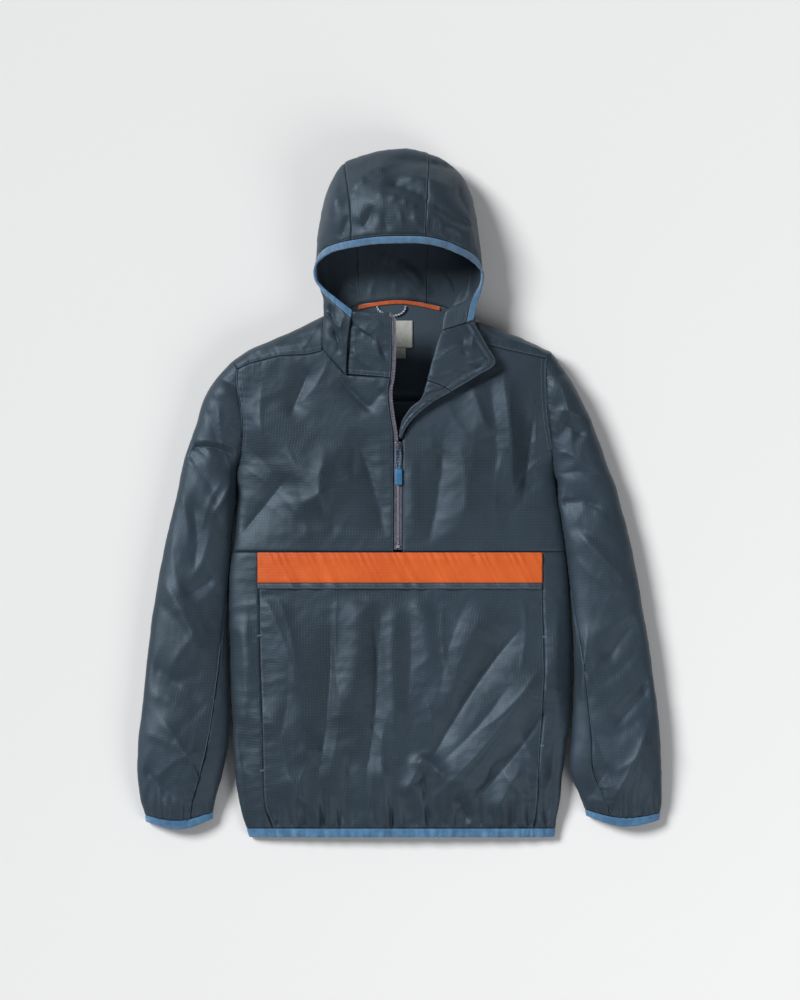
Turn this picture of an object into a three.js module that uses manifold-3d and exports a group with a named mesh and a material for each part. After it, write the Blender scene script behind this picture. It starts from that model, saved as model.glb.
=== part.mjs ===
// A hooded half-zip anorak pullover, laid flat on its back with a light filling of air.
// Millimetres. +X is the picture's right, +Y is toward the hood, +Z is up from the surface it lies on.
import * as THREE from "three";
import { mergeVertices } from "three/addons/utils/BufferGeometryUtils.js";
import Module from "manifold-3d";

const wasm = await Module();
wasm.setup();

// Driving sizes
const WALL = 1.6; // cloth with its thin lining
const SEAM_GAP = 0.3; // between two pieces that are sewn together
const BINDING_WIDTH = 10;
const BINDING_THICK = 3.2; // the binding wraps the edge, so it is two layers and the cloth
const BINDING_PROUD = 0.8; // how far the binding stands out of the cloth
const UNDERARM_Y = 33;
const FLAP_SEAM_Y = -85; // across the front, where the flap is sewn in
const HEM_SEAM_Y = -487; // where the hem binding begins
const HEM_Y = -499;
const CHEST_HEIGHT = 62; // top of the chest above the surface
const HEM_HEIGHT = 21;
const SLEEVE_HEIGHT = 54;
const CUFF_HEIGHT = 24;
const SHOULDER_EDGE_Z = 22; // height of the outermost line of the shoulder
const ROLL_UNDER = 14; // how far inside its outline the garment touches the surface
const ROLL_MOST = 0.3; // the most of a narrow sleeve's width that one rolled edge takes
const ZIP_X = -2.4; // centre line of the closed zip
const TAPE_WIDTH = 5.6;
const TAPE_WALL = 1.1;
const TAPE_SUNK = 0.8; // the tape lies this far below the cloth's face
const FLAP_DEPTH = 44; // orange band, from the seam down
const FLAP_STRIP = 9; // grey strip below the band

// Colours by sight
const SLATE = 0x4a5a68;
const SKY_BLUE = 0x4a90be;
const ORANGE = 0xcd5c28;
const GREY_STRIP = 0x556270;
const TAPE_GREY = 0x64646e;
const LABEL_GREY = 0xbec0b4;
const PALE_BLUE = 0x9fb8c8;

// A table with named columns, one object for each row.
function table(columns, rows) {
  return rows.map((row) => Object.fromEntries(columns.map((name, i) => [name, row[i]])));
}

// A smooth value through a table's column, looked up by another column that rises from row to row.
function track(rows, key, column) {
  return (at) => {
    const last = rows.length - 1;
    const clamped = Math.min(Math.max(at, rows[0][key]), rows[last][key]);
    let i = 0;
    while (i < last - 1 && rows[i + 1][key] < clamped) i += 1;
    const slope = (k) => {
      const before = Math.max(k - 1, 0);
      const after = Math.min(k + 1, last);
      return (rows[after][column] - rows[before][column]) / (rows[after][key] - rows[before][key]);
    };
    const step = rows[i + 1][key] - rows[i][key];
    const t = (clamped - rows[i][key]) / step;
    const [a, b] = [rows[i][column], rows[i + 1][column]];
    const h = t * t * (3 - 2 * t);
    return a + (b - a) * h + step * (slope(i) * t * (1 - t) ** 2 - slope(i + 1) * t * t * (1 - t));
  };
}

const lerp = THREE.MathUtils.lerp;
const smooth = (t) => THREE.MathUtils.smoothstep(t, 0, 1);
const vec = (x, y, z = 0) => new THREE.Vector3(x, y, z);
const steps = (count) => Array.from({ length: count + 1 }, (_, i) => i / count);

// The body's sections, from the hem up: outline, height of the middle, height of the edge on the front and
// on the back sheet, and how full the section is (small is boxy, 2 is a shallow arch).
const BODY = table(
  ["y", "left", "right", "crown", "edgeTop", "edgeLow", "arch"],
  [
    [HEM_Y, -218, 224, HEM_HEIGHT, 9, 9, 0.8],
    [-486, -222, 226, HEM_HEIGHT + 2, 10, 10, 0.8],
    [-469, -228, 228, 29, 12, 12, 0.75],
    [-440, -234, 233, 39, 15, 15, 0.7],
    [-400, -239, 237, 48, 18, 18, 0.65],
    [-330, -243, 246, 54, 20, 20, 0.6],
    [-230, -246, 249, 57, 20, 20, 0.6],
    [-120, -247, 243, 58, 20, 20, 0.6],
    [-60, -238, 237, 60, 20, 20, 0.6],
    [0, -236, 228, 61, 20, 20, 0.75],
    [UNDERARM_Y, -237, 224, CHEST_HEIGHT, 22, 20, 0.95],
    [61, -230, 222, CHEST_HEIGHT, 33, 8, 1.4],
    [100, -228, 217, CHEST_HEIGHT, 43, 0, 1.8],
    [140, -233, 213, CHEST_HEIGHT, 46, 0, 2],
    [165, -236, 212, CHEST_HEIGHT, 46, 0, 2],
    [180, -235, 212, CHEST_HEIGHT, 46, 0, 2],
    [196, -235, 213, CHEST_HEIGHT, 46, 0, 2],
    [260, -235, 213, CHEST_HEIGHT, 46, 0, 2],
  ],
);
const body = Object.fromEntries(
  ["left", "right", "crown", "edgeTop", "arch"].map((c) => [c, track(BODY, "y", c)]),
);
const edgeLowTrack = track(BODY, "y", "edgeLow");
body.edgeLow = (y) => Math.min(Math.max(0, edgeLowTrack(y)), body.edgeTop(y));

// The largest folds: a line from one point to another, its half width, and its height (negative is a trough).
const FOLDS = table(
  ["x1", "y1", "x2", "y2", "wide", "high"],
  [
    [-133, 175, -156, 118, 13, -5],
    [-82, 160, -46, 122, 13, -4],
    [-46, 122, -24, 150, 12, -3],
    [-64, 96, -74, -20, 15, 3.5],
    [-185, 120, -150, -30, 18, 3],
    [150, 160, 160, 10, 13, 5],
    [106, 150, 126, 90, 13, 3.5],
    [188, 110, 178, 20, 14, -3],
    [60, 80, 74, -50, 16, -3],
    [-56, -160, -58, -380, 14, 4],
    [-3, -175, -2, -380, 13, 3.5],
    [38, -160, 36, -310, 13, 4],
    [-120, -180, -108, -330, 20, -4],
    [188, -285, 48, -443, 17, 7],
    [150, -205, 92, -330, 16, -4],
    [11, -432, 31, -385, 12, 5],
    [31, -385, 57, -410, 12, 5],
    [88, -440, 112, -405, 12, -5],
    [-160, -462, -140, -425, 13, 5],
    [-105, -455, -70, -395, 14, -4],
    [140, -455, 170, -400, 14, 4],
    [-306, 52, -290, 68, 11, -5],
    [-290, 68, -246, 56, 11, -5],
    [-238, 24, -268, -30, 12, 5],
    [-300, -10, -297, -105, 14, -4],
    [-342, -130, -288, -238, 15, 4.5],
    [-272, -124, -308, -148, 11, -5],
    [-360, -250, -290, -300, 14, -4],
    [-345, -330, -290, -420, 14, 5],
    [-372, -400, -330, -440, 12, -4],
    [236, 100, 266, 84, 12, -4],
    [232, -15, 290, -20, 12, -5],
    [262, -60, 318, -120, 15, 4],
    [338, -188, 300, -240, 13, -4],
    [364, -275, 318, -332, 14, -5],
    [358, -345, 308, -445, 15, 5],
    [272, -200, 262, -290, 12, 4],
    [300, -400, 276, -440, 11, -4],
  ],
);
function foldHeight(x, y, folds) {
  let sum = 0;
  for (const f of folds) {
    const [dx, dy] = [f.x2 - f.x1, f.y2 - f.y1];
    const length = Math.hypot(dx, dy);
    const along = ((x - f.x1) * dx + (y - f.y1) * dy) / (length * length);
    const across = Math.abs((x - f.x1) * dy - (y - f.y1) * dx) / length;
    if (along < -0.25 || along > 1.25 || across > 2.2 * f.wide) continue;
    const ends = smooth(Math.min((along + 0.25) / 0.5, (1.25 - along) / 0.5));
    const hump = Math.cos((Math.PI / 2) * Math.min(1, across / (1.5 * f.wide))) ** 2;
    sum += f.high * ends * hump;
  }
  return sum;
}

// Gathers into the hem binding, uneven in spacing and height
const HEM_GATHERS = 15;
const GATHER_HEIGHT = 2.4;
const GATHER_REACH = 48;
function hemGather(x, y) {
  const rise = smooth((HEM_SEAM_Y + GATHER_REACH - y) / GATHER_REACH);
  const flat = 1 - 0.75 * smooth((HEM_SEAM_Y + 9 - y) / 9);
  const phase = (x / 440) * HEM_GATHERS + 0.35 * Math.sin(x / 31);
  return GATHER_HEIGHT * rise * flat * Math.sin(2 * Math.PI * phase) * (0.75 + 0.25 * Math.sin(x / 47));
}

// Half-section position: 1 in the middle, 0 at the outline.
function fullness(x, y) {
  const [l, r] = [body.left(y), body.right(y)];
  const u = (2 * x - l - r) / (r - l);
  return Math.sqrt(Math.max(0, 1 - u * u));
}

// The open zip's left edge stands up from the chest.
const OPEN_EDGE_LIFT = 8;
function openEdgeLift(x, y) {
  if (x > 0) return 0;
  return OPEN_EDGE_LIFT * smooth((y - 70) / 110) * Math.exp(-(((x + 10) / 45) ** 2));
}

// Height of the front sheet and of the back sheet. Under the flap the front is taut and has no folds.
const FLAP_TAUT = { low: -145, high: -80 };
function frontZ(x, y) {
  const full = fullness(x, y);
  const edge = body.edgeTop(y);
  const base = edge + (body.crown(y) - edge) * full ** body.arch(y);
  const calm = smooth(full / 0.45) * smooth(Math.max((FLAP_TAUT.low - y) / 20, (y - FLAP_TAUT.high) / 20));
  return base + calm * (foldHeight(x, y, FOLDS) + hemGather(x, y)) + openEdgeLift(x, y);
}
const BACK_ROLL = 0.3; // share of the half width over which the back sheet leaves the surface
function backZ(x, y) {
  return body.edgeLow(y) * Math.max(0, 1 - fullness(x, y) / BACK_ROLL) ** 1.5;
}

// The way into the cloth at a point of a height field, square to its section across the body
function inward(height, side, x, y) {
  const [l, r] = [body.left(y), body.right(y)];
  const reach = 0.02;
  const at = Math.min(Math.max(x, l + reach), r - reach);
  const slope = (height(at + reach, y) - height(at - reach, y)) / (2 * reach);
  return vec(-side * slope, 0, side).normalize();
}
const frontPoint = (x, y) => ({ p: vec(x, y, frontZ(x, y)), d: inward(frontZ, -1, x, y) });
const backPoint = (x, y) => ({ p: vec(x, y, backZ(x, y)), d: inward(backZ, 1, x, y) });

// Rows of { p, d } (a point of the outer face and the way in) become a closed wall of cloth. Each rim named
// in seams is drawn back by half the seam's gap.
function clothWall(grid, { wall = WALL, lift = 0, seams = "nesw", ring = false } = {}) {
  const rows = grid.map((row) => row.map((g) => ({ p: g.p.clone(), d: g.d.clone() })));
  const pull = (g, toward) => {
    g.p.add(toward.p.clone().sub(g.p).setLength(SEAM_GAP / 2));
  };
  const [rowEnd, colEnd] = [rows.length - 1, rows[0].length - 1];
  for (let j = 0; j <= colEnd; j += 1) {
    if (seams.includes("s")) pull(rows[0][j], rows[1][j]);
    if (seams.includes("n")) pull(rows[rowEnd][j], rows[rowEnd - 1][j]);
  }
  if (!ring) {
    for (let i = 0; i <= rowEnd; i += 1) {
      if (seams.includes("w")) pull(rows[i][0], rows[i][1]);
      if (seams.includes("e")) pull(rows[i][colEnd], rows[i][colEnd - 1]);
    }
  }
  const width = rows[0].length;
  const count = rows.length * width;
  const position = new Float32Array(count * 6);
  rows.flat().forEach((g, k) => {
    const face = g.p.clone().addScaledVector(g.d, -lift);
    face.z = Math.max(face.z, 0);
    face.toArray(position, 3 * k);
    g.p.clone().addScaledVector(g.d, wall - lift).toArray(position, 3 * (k + count));
  });
  const index = [];
  const quad = (a, b, c, d) => index.push(a, b, c, a, c, d);
  const outer = (i, j) => i * width + (j % width);
  const inner = (i, j) => outer(i, j) + count;
  const across = ring ? width : width - 1;
  for (let i = 0; i < rowEnd; i += 1) {
    for (let j = 0; j < across; j += 1) {
      quad(outer(i, j), outer(i, j + 1), outer(i + 1, j + 1), outer(i + 1, j));
      quad(inner(i, j), inner(i + 1, j), inner(i + 1, j + 1), inner(i, j + 1));
    }
  }
  for (let j = 0; j < across; j += 1) {
    quad(outer(0, j), inner(0, j), inner(0, j + 1), outer(0, j + 1));
    quad(outer(rowEnd, j), outer(rowEnd, j + 1), inner(rowEnd, j + 1), inner(rowEnd, j));
  }
  if (!ring) {
    for (let i = 0; i < rowEnd; i += 1) {
      quad(outer(i, 0), outer(i + 1, 0), inner(i + 1, 0), inner(i, 0));
      quad(outer(i, colEnd), inner(i, colEnd), inner(i + 1, colEnd), outer(i + 1, colEnd));
    }
  }
  return facingOut(position, index);
}

// A geometry whose faces point outwards whichever way the grid ran
function facingOut(position, index) {
  const corner = (k) => vec(...position.slice(3 * k, 3 * k + 3));
  let volume = 0;
  for (let i = 0; i < index.length; i += 3) {
    const [a, b, c] = [corner(index[i]), corner(index[i + 1]), corner(index[i + 2])];
    volume += a.dot(b.cross(c));
  }
  const geometry = new THREE.BufferGeometry();
  geometry.setAttribute("position", new THREE.BufferAttribute(position, 3));
  geometry.setIndex(volume < 0 ? index.reverse() : index);
  return geometry;
}

const garment = new THREE.Group();
function add(name, geometry, colour, { roughness = 0.6, metalness = 0 } = {}) {
  const material = new THREE.MeshStandardMaterial({ color: colour, roughness, metalness });
  const mesh = new THREE.Mesh(geometry, material);
  mesh.name = name;
  garment.add(mesh);
  return mesh;
}

// A smooth curve in plan through points, evenly spaced along its length
function planCurve(points, count) {
  const curve = new THREE.CatmullRomCurve3(points.map(([x, y]) => vec(x, y)), false, "centripetal");
  return steps(count).map((t) => curve.getPointAt(t));
}

// A plan grid between four curves that meet at the corners: south and north run with the columns (at the
// shares across), west and east with the rows (at the shares up).
function planPatch({ south, north, west, east, across, up }) {
  const blend = (axis, i, j) => {
    const [u, v] = [across[j], up[i]];
    const low = lerp(west[0][axis], east[0][axis], u);
    const high = lerp(west.at(-1)[axis], east.at(-1)[axis], u);
    const corners = lerp(low, high, v);
    return lerp(south[j][axis], north[j][axis], v) + lerp(west[i][axis], east[i][axis], u) - corners;
  };
  return up.map((_, i) => across.map((__, j) => vec(blend("x", i, j), blend("y", i, j))));
}

// Points of a plan polyline at the given shares of its length
function sharesOf(points, shares) {
  const path = new THREE.CurvePath();
  points.slice(1).forEach(([x, y], i) => path.add(new THREE.LineCurve3(vec(...points[i]), vec(x, y))));
  return shares.map((t) => path.getPoint(t));
}

// Rows at which the armholes' seams are shared by body, sleeves and back
const LOW_ARMHOLE = [33, 47, 61, 79, 97, 115, 134];
const SIDES = {
  left: {
    sign: -1,
    edge: body.left,
    armholeTop: 180,
    shoulder: [[-108, 258], [-144, 240], [-181, 224], [-218, 208], [-242, 192]],
    yokeSeam: [[-112, 206], [-133, 201], [-175, 199], [-218, 188], [-235, 180]],
    neckEnd: [-109.6, 257.4],
    frontShares: (crowd) => crowd.filter((u) => u <= LEFT_NECK_SHARE).map((u) => u / LEFT_NECK_SHARE),
  },
  right: {
    sign: 1,
    edge: body.right,
    armholeTop: 196,
    shoulder: [[109, 250], [146, 237], [175, 225], [199, 214], [221, 203]],
    yokeSeam: [[114.6, 218], [128, 215], [155, 208], [182, 202], [213, 196]],
    neckEnd: [111.8, 249.4],
    frontShares: (crowd) => crowd,
  },
};
const outerCrowd = (u) => 1 - Math.cos((Math.PI / 2) * u); // columns crowd at the rounded side
const FRONT_COLUMNS = 15;
const FRONT_SHARES = steps(FRONT_COLUMNS).map(outerCrowd);
const LEFT_NECK_SHARE = FRONT_SHARES[9]; // the left front's column that ends at the corner of yoke and neck
const armholeRows = (side) => [
  ...LOW_ARMHOLE,
  ...[1, 2, 3].map((k) => lerp(LOW_ARMHOLE.at(-1), side.armholeTop, k / 3)),
];

// Front yokes: each section rises from the shoulder's outermost line to the seam with the upper front.
const shoulderRise = (t) => ({
  out: 1 - Math.cos((Math.PI / 2) * t),
  up: Math.sin((Math.PI / 2) * t) ** 0.8,
});
const YOKE_ROWS = steps(5);
function ruledSection(from, to, toZ, t) {
  const at = (s) => {
    const { out, up } = shoulderRise(Math.min(Math.max(s, 0), 1));
    return vec(lerp(from.x, to.x, out), lerp(from.y, to.y, out), lerp(SHOULDER_EDGE_Z, toZ, up));
  };
  const tangent = t < 1 ? at(t + 1e-4).sub(at(t)) : vec(to.x - from.x, to.y - from.y);
  const plan = vec(to.x - from.x, to.y - from.y).normalize();
  const run = tangent.dot(plan);
  return { p: at(t), d: plan.multiplyScalar(tangent.z).setZ(-run).normalize() };
}
// The yoke's seam and outer line at the columns of the upper front below it, from the armhole to the neck
function yokeLines(side) {
  const shares = side.frontShares(FRONT_SHARES);
  const outer = [side.neckEnd, ...side.shoulder.slice(1)].reverse();
  return [outer, [...side.yokeSeam].reverse()].map((line) => sharesOf(line, shares));
}
for (const [name, side] of Object.entries(SIDES)) {
  const [outer, seam] = yokeLines(side);
  const grid = YOKE_ROWS.map((t) =>
    seam.map((_, j) => ruledSection(outer[j], seam[j], frontZ(seam[j].x, seam[j].y), t)),
  );
  add("yoke_" + name, clothWall(grid), SLATE);
}

// Upper fronts, from the flap's seam to the yoke and the neck
const LEFT_OPEN_EDGE = [[-16, 261], [-11, 250], [-11, 200], [-13, 167], [-16, 150], [-15, 127], [-9, 88]];
const CLOSED_LEFT_X = -8.6;
const CLOSED_RIGHT_X = 3.8;
const NECK_LEFT = [[-78, 171], [-111, 209]]; // front neck seam, below the hood's side
const NECK_LEFT_ZIP_Y = 167;
// The right front ends under its turned-out edge, along this line from the slider to the yoke.
const RIGHT_UNDER_FOLD = [
  [CLOSED_RIGHT_X, 78],
  [10, 96],
  [24, 115],
  [45, 138],
  [60, 163],
  [73, 185],
  [85, 198],
  [99, 209],
  [114.6, 218],
];
const openEdgeX = track(
  table(["x", "y"], [...LEFT_OPEN_EDGE].reverse().map(([x, y]) => [x, y])),
  "y",
  "x",
);
const leftZipEdge = (y) => (y < 88 ? lerp(CLOSED_LEFT_X, -9, smooth((y - 60) / 28)) : openEdgeX(y));
const COLLAR_ROWS = steps(7);
const COLLAR_TOP_Y = 261;
const LOW_SIDE = [FLAP_SEAM_Y, -58, -30, -4, 16];
const LEFT_ROWS = LOW_SIDE.length + LOW_ARMHOLE.length + 2;
const leftZipY = steps(LEFT_ROWS).map((v) => lerp(FLAP_SEAM_Y, NECK_LEFT_ZIP_Y, v));
const collarY = COLLAR_ROWS.map((v) => lerp(NECK_LEFT_ZIP_Y, COLLAR_TOP_Y, v));
{
  const rowsY = [...LOW_SIDE, ...armholeRows(SIDES.left)];
  const up = rowsY.map((_, i) => i / (rowsY.length - 1));
  const across = FRONT_SHARES;
  const west = rowsY.map((y) => vec(body.left(y), y));
  const east = leftZipY.map((y) => vec(leftZipEdge(y), y));
  const [, yokeSide] = yokeLines(SIDES.left);
  const neckShares = FRONT_SHARES.slice(yokeSide.length - 1);
  const neckSide = sharesOf(
    [yokeSide.at(-1).toArray(), NECK_LEFT[1], NECK_LEFT[0], [-13, NECK_LEFT_ZIP_Y]],
    neckShares.slice(1).map((u) => (u - LEFT_NECK_SHARE) / (1 - LEFT_NECK_SHARE)),
  );
  const north = [...yokeSide, ...neckSide];
  const south = across.map((u) => vec(lerp(west[0].x, east[0].x, u), FLAP_SEAM_Y));
  const plan = planPatch({ south, north, west, east, across, up });
  add("front_upper_left", clothWall(plan.map((row) => row.map((q) => frontPoint(q.x, q.y)))), SLATE);
}
{
  const rowsY = [...LOW_SIDE, ...armholeRows(SIDES.right)];
  const up = rowsY.map((_, i) => i / (rowsY.length - 1));
  const across = [...FRONT_SHARES].reverse().map((u) => 1 - u);
  const east = rowsY.map((y) => vec(body.right(y), y));
  const west = sharesOf([[CLOSED_RIGHT_X, FLAP_SEAM_Y], ...RIGHT_UNDER_FOLD], up);
  const north = yokeLines(SIDES.right)[1].reverse();
  const south = across.map((u) => vec(lerp(west[0].x, east[0].x, u), FLAP_SEAM_Y));
  const plan = planPatch({ south, north, west, east, across, up });
  add("front_upper_right", clothWall(plan.map((row) => row.map((q) => frontPoint(q.x, q.y)))), SLATE);
}

// Pocket panel and side panels, from the flap's seam to the hem binding
const LOWER_Y = [
  FLAP_SEAM_Y, -107, -130, -142, -166, -200, -238, -278, -318, -354, -386, -414, -436, -454, -470, HEM_SEAM_Y,
];
const POCKET = table(
  ["y", "left", "right"],
  [
    [-487, -184, 195],
    [-474, -188, 198],
    [-461, -194, 199],
    [-439, -197, 201],
    [-404, -198, 202],
    [-308, -200, 208],
    [-253, -202, 210],
    [-142, -204, 207],
    [-85, -204, 206],
  ],
);
const pocketLeft = track(POCKET, "y", "left");
const pocketRight = track(POCKET, "y", "right");
const PANEL_COLUMNS = 32;
const gridOf = (ys, xs, point) => ys.map((y) => xs(y).map((x) => point(x, y)));
add(
  "pocket_panel",
  clothWall(
    gridOf(
      LOWER_Y,
      (y) => steps(PANEL_COLUMNS).map((u) => lerp(pocketLeft(y), pocketRight(y), u)),
      frontPoint,
    ),
  ),
  SLATE,
);
const SIDE_COLUMNS = steps(6);
const sideStrip = (seam, edge) => (y) => SIDE_COLUMNS.map((u) => lerp(edge(y), seam(y), outerCrowd(u)));
add("side_left", clothWall(gridOf(LOWER_Y, sideStrip(pocketLeft, body.left), frontPoint)), SLATE);
add("side_right", clothWall(gridOf(LOWER_Y, sideStrip(pocketRight, body.right), frontPoint)), SLATE);

// Back panel: flat on the surface, its edges rolled up to the outline
const BACK_SEAM_Y = LOW_ARMHOLE.at(-1);
const BACK_COLUMNS = steps(14).map((t) => -Math.cos(Math.PI * t));
const backX = (y, c) => lerp(body.left(y), body.right(y), (c + 1) / 2);
const BACK_Y = [
  ...LOWER_Y.filter((_, i) => i % 2 === 1).reverse(),
  FLAP_SEAM_Y,
  ...LOW_SIDE.slice(1),
  ...LOW_ARMHOLE,
];
add("back_panel", clothWall(gridOf(BACK_Y, (y) => BACK_COLUMNS.map((c) => backX(y, c)), backPoint)), SLATE);

// Back yoke: flat from the back seam, rolled up to the shoulder's outermost line, flat at the neck
const NECK_BACK = [[-91, 265], [-66, 272], [-28, 279], [0, 281], [40, 276], [72, 267], [92, 259]];
const NECK_EDGE_Z = [8, 0, 0, 0, 0, 0, 8];
const rollUp = (t) => ({ out: Math.sin((Math.PI / 2) * t), up: 1 - Math.cos((Math.PI / 2) * t) });
const UNDER_STEPS = [0, 0.25, 0.5, 0.75, 1];
function rollSection(floor, edge, edgeZ, t) {
  const { out, up } = rollUp(t);
  const plan = vec(edge.x - floor.x, edge.y - floor.y);
  const run = Math.cos((Math.PI / 2) * t) * plan.length();
  const rise = Math.sin((Math.PI / 2) * t) * edgeZ;
  plan.normalize();
  return {
    p: vec(lerp(floor.x, edge.x, out), lerp(floor.y, edge.y, out), edgeZ * up),
    d: plan.clone().multiplyScalar(-rise).setZ(Math.max(run, 1e-6)).normalize(),
  };
}
{
  const leftEdge = [...SIDES.left.shoulder].reverse();
  const rightEdge = SIDES.right.shoulder;
  const upper = [
    ...leftEdge.map((q) => ({ x: q[0], y: q[1], z: SHOULDER_EDGE_Z, inX: 0.5, inY: -0.866 })),
    ...NECK_BACK.map((q, i) => ({ x: q[0], y: q[1], z: NECK_EDGE_Z[i], inX: 0, inY: -1 })),
    ...rightEdge.map((q) => ({ x: q[0], y: q[1], z: SHOULDER_EDGE_Z, inX: -0.55, inY: -0.835 })),
  ];
  upper[0] = { ...upper[0], inX: 7 / ROLL_UNDER, inY: -12 / ROLL_UNDER };
  upper[upper.length - 1] = { ...upper.at(-1), inX: -8 / ROLL_UNDER, inY: -7 / ROLL_UNDER };
  const last = upper.length - 1;
  const columns = upper.map((o, j) => {
    const joint = vec(o.x + ROLL_UNDER * o.inX, o.y + ROLL_UNDER * o.inY);
    const floor = vec(o.x + (ROLL_UNDER / 2) * o.inX, o.y + (ROLL_UNDER / 2) * o.inY);
    const middle = (body.left(BACK_SEAM_Y) + body.right(BACK_SEAM_Y)) / 2;
    const half = (body.right(BACK_SEAM_Y) - body.left(BACK_SEAM_Y)) / 2;
    const c = Math.min(1, Math.max(-1, j === 0 ? -1 : j === last ? 1 : (o.x - middle) / half));
    const start = vec(middle + c * half, BACK_SEAM_Y);
    const side = j === 0 ? SIDES.left : j === last ? SIDES.right : null;
    const flat = [0, 1, 2, 3].map((k) => {
      if (side) {
        const y = k === 3 ? joint.y : lerp(BACK_SEAM_Y, side.armholeTop, k / 3);
        return { p: vec(k === 3 ? joint.x : side.edge(y), y), d: vec(0, 0, 1) };
      }
      return { p: start.clone().lerp(joint, k / 3), d: vec(0, 0, 1) };
    });
    return [...flat, ...UNDER_STEPS.map((t) => rollSection(floor, vec(o.x, o.y), o.z, t))];
  });
  const grid = columns[0].map((_, i) => columns.map((column) => column[i]));
  add("back_yoke", clothWall(grid), SLATE);
}

// Sleeves: each row is a section from the outer edge to the inner edge, from the cuff up. Beside the body the
// inner edge is a rolled edge of its own; above the underarm it is the armhole's seam.
const SLEEVE_COLUMNS = ["outerX", "outerY", "innerX", "innerY", "crown", "bow"];
const SLEEVES = {
  left: table(SLEEVE_COLUMNS, [
    [-368, -477, -272, -472, CUFF_HEIGHT, -13],
    [-370, -465, -271, -460, 29, -10],
    [-376, -442, -267, -440, 38, -6],
    [-380.4, -400, -257, -404, 47, -2],
    [-377, -340, -248, -350, 52, 0],
    [-367, -250, -249, -262, SLEEVE_HEIGHT, 0],
    [-355, -155, -251, -168, SLEEVE_HEIGHT, 0],
    [-340, -76, -246, -88, SLEEVE_HEIGHT, 0],
    [-324, -7, -238.5, -15, 56, 0],
    [-316, 33, 0, UNDERARM_Y, 57, 0],
    [-306, 68, 0, 61, 58, 0],
    [-294, 103, 0, 91, 58, 0],
    [-284, 135, 0, 120, 57, 0],
    [-268, 162, 0, 149, 54, 0],
    [-242, 192, 0, 180, 0, 0],
  ]),
  right: table(SLEEVE_COLUMNS, [
    [376, -474, 272, -468, CUFF_HEIGHT, -12],
    [378, -462, 269, -457, 29, -9],
    [380, -438, 260, -436, 38, -5],
    [379, -396, 247, -402, 47, -2],
    [376, -335, 250, -345, 52, 0],
    [365, -245, 253, -256, SLEEVE_HEIGHT, 0],
    [350, -155, 250, -168, SLEEVE_HEIGHT, 0],
    [335, -74, 241, -86, SLEEVE_HEIGHT, 0],
    [316, 0, 230, -8, 56, 0],
    [304, 33, 0, UNDERARM_Y, 57, 0],
    [292, 68, 0, 61, 58, 0],
    [279, 101, 0, 95, 58, 0],
    [267, 128, 0, 127, 57, 0],
    [247, 165, 0, 162, 54, 0],
    [221, 203, 0, 196, 0, 0],
  ]),
};
const UNDERARM_ROW = 9;
const SLEEVE_EDGE_Z = 21;
const CUFF_EDGE_Z = 10;
// Rows between the table's rows, as shares of a row: fine at the cuff, then one or two to a row
const CUFF_SEAM_ROW = 0.85;
const SLEEVE_LOW_ROWS = [CUFF_SEAM_ROW, 1.4, 2, 2.7, 3.4, 4, 4.7, 5.4, 6.2, 7, 7.7, 8.4];
// Where the seam between upper and under sleeve lies, as a share of the width from the inner edge
const SLEEVE_SEAM = table(
  ["row", "share"],
  [
    [0, 0.37],
    [2, 0.31],
    [3, 0.26],
    [4, 0.22],
    [5, 0.13],
    [6, 0.03],
    [6.5, 0],
    [14, 0],
  ],
);
const seamShare = track(SLEEVE_SEAM, "row", "share");

function sleeveSection(name, row) {
  const rows = SLEEVES[name].map((r, index) => ({ ...r, index }));
  const side = SIDES[name];
  const value = (column) => track(rows, "index", column)(row.at);
  const outer = vec(value("outerX"), value("outerY"));
  const attached = row.at >= UNDERARM_ROW;
  const innerY = row.seamY ?? value("innerY");
  const lowRows = rows.slice(0, UNDERARM_ROW);
  const innerX = attached ? side.edge(innerY) : track(lowRows, "index", "innerX")(row.at);
  const inner = vec(innerX, innerY);
  const edge = lerp(CUFF_EDGE_Z, SLEEVE_EDGE_Z, smooth(row.at / 4));
  const innerTop = attached ? body.edgeTop(innerY) : edge;
  const innerLow = attached ? body.edgeLow(innerY) : edge;
  const innerEase = attached ? body.arch(innerY) : 0.7;
  const last = row.at >= rows.length - 1;
  const crown = last ? innerTop : Math.max(value("crown"), innerTop + 1);
  const outerZ = lerp(edge, SHOULDER_EDGE_Z, smooth((row.at - 8) / 4));
  return { outer, inner, crown, outerZ, innerTop, innerLow, innerEase, bow: value("bow"), last };
}
// Point of a sleeve's top sheet: share 0 at the outer edge, 1 at the inner edge
function sleeveTop(section, share) {
  const { outer, inner, crown, outerZ, innerTop, innerEase, bow, last } = section;
  const at = (f) => {
    const rise = Math.max(0, 1 - (1 - f) ** 2) ** (0.5 * (last ? 0.8 : 0.7));
    const fall = 1 - Math.max(0, 1 - f * f) ** (innerEase / 2);
    const x = lerp(outer.x, inner.x, f);
    const y = lerp(outer.y, inner.y, f) + bow * Math.sin(Math.PI * f);
    const calm = last ? 0 : smooth(Math.min(f, 1 - f) / 0.16);
    const z = outerZ + (crown - outerZ) * rise + (innerTop - crown) * fall + calm * foldHeight(x, y, FOLDS);
    return vec(x, y, z);
  };
  const reach = 1e-4;
  const tangent = at(Math.min(1, share + reach)).sub(at(Math.max(0, share - reach)));
  const plan = vec(inner.x - outer.x, inner.y - outer.y).normalize();
  const run = tangent.dot(plan);
  return { p: at(share), d: plan.clone().multiplyScalar(tangent.z).setZ(-run).normalize() };
}
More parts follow.
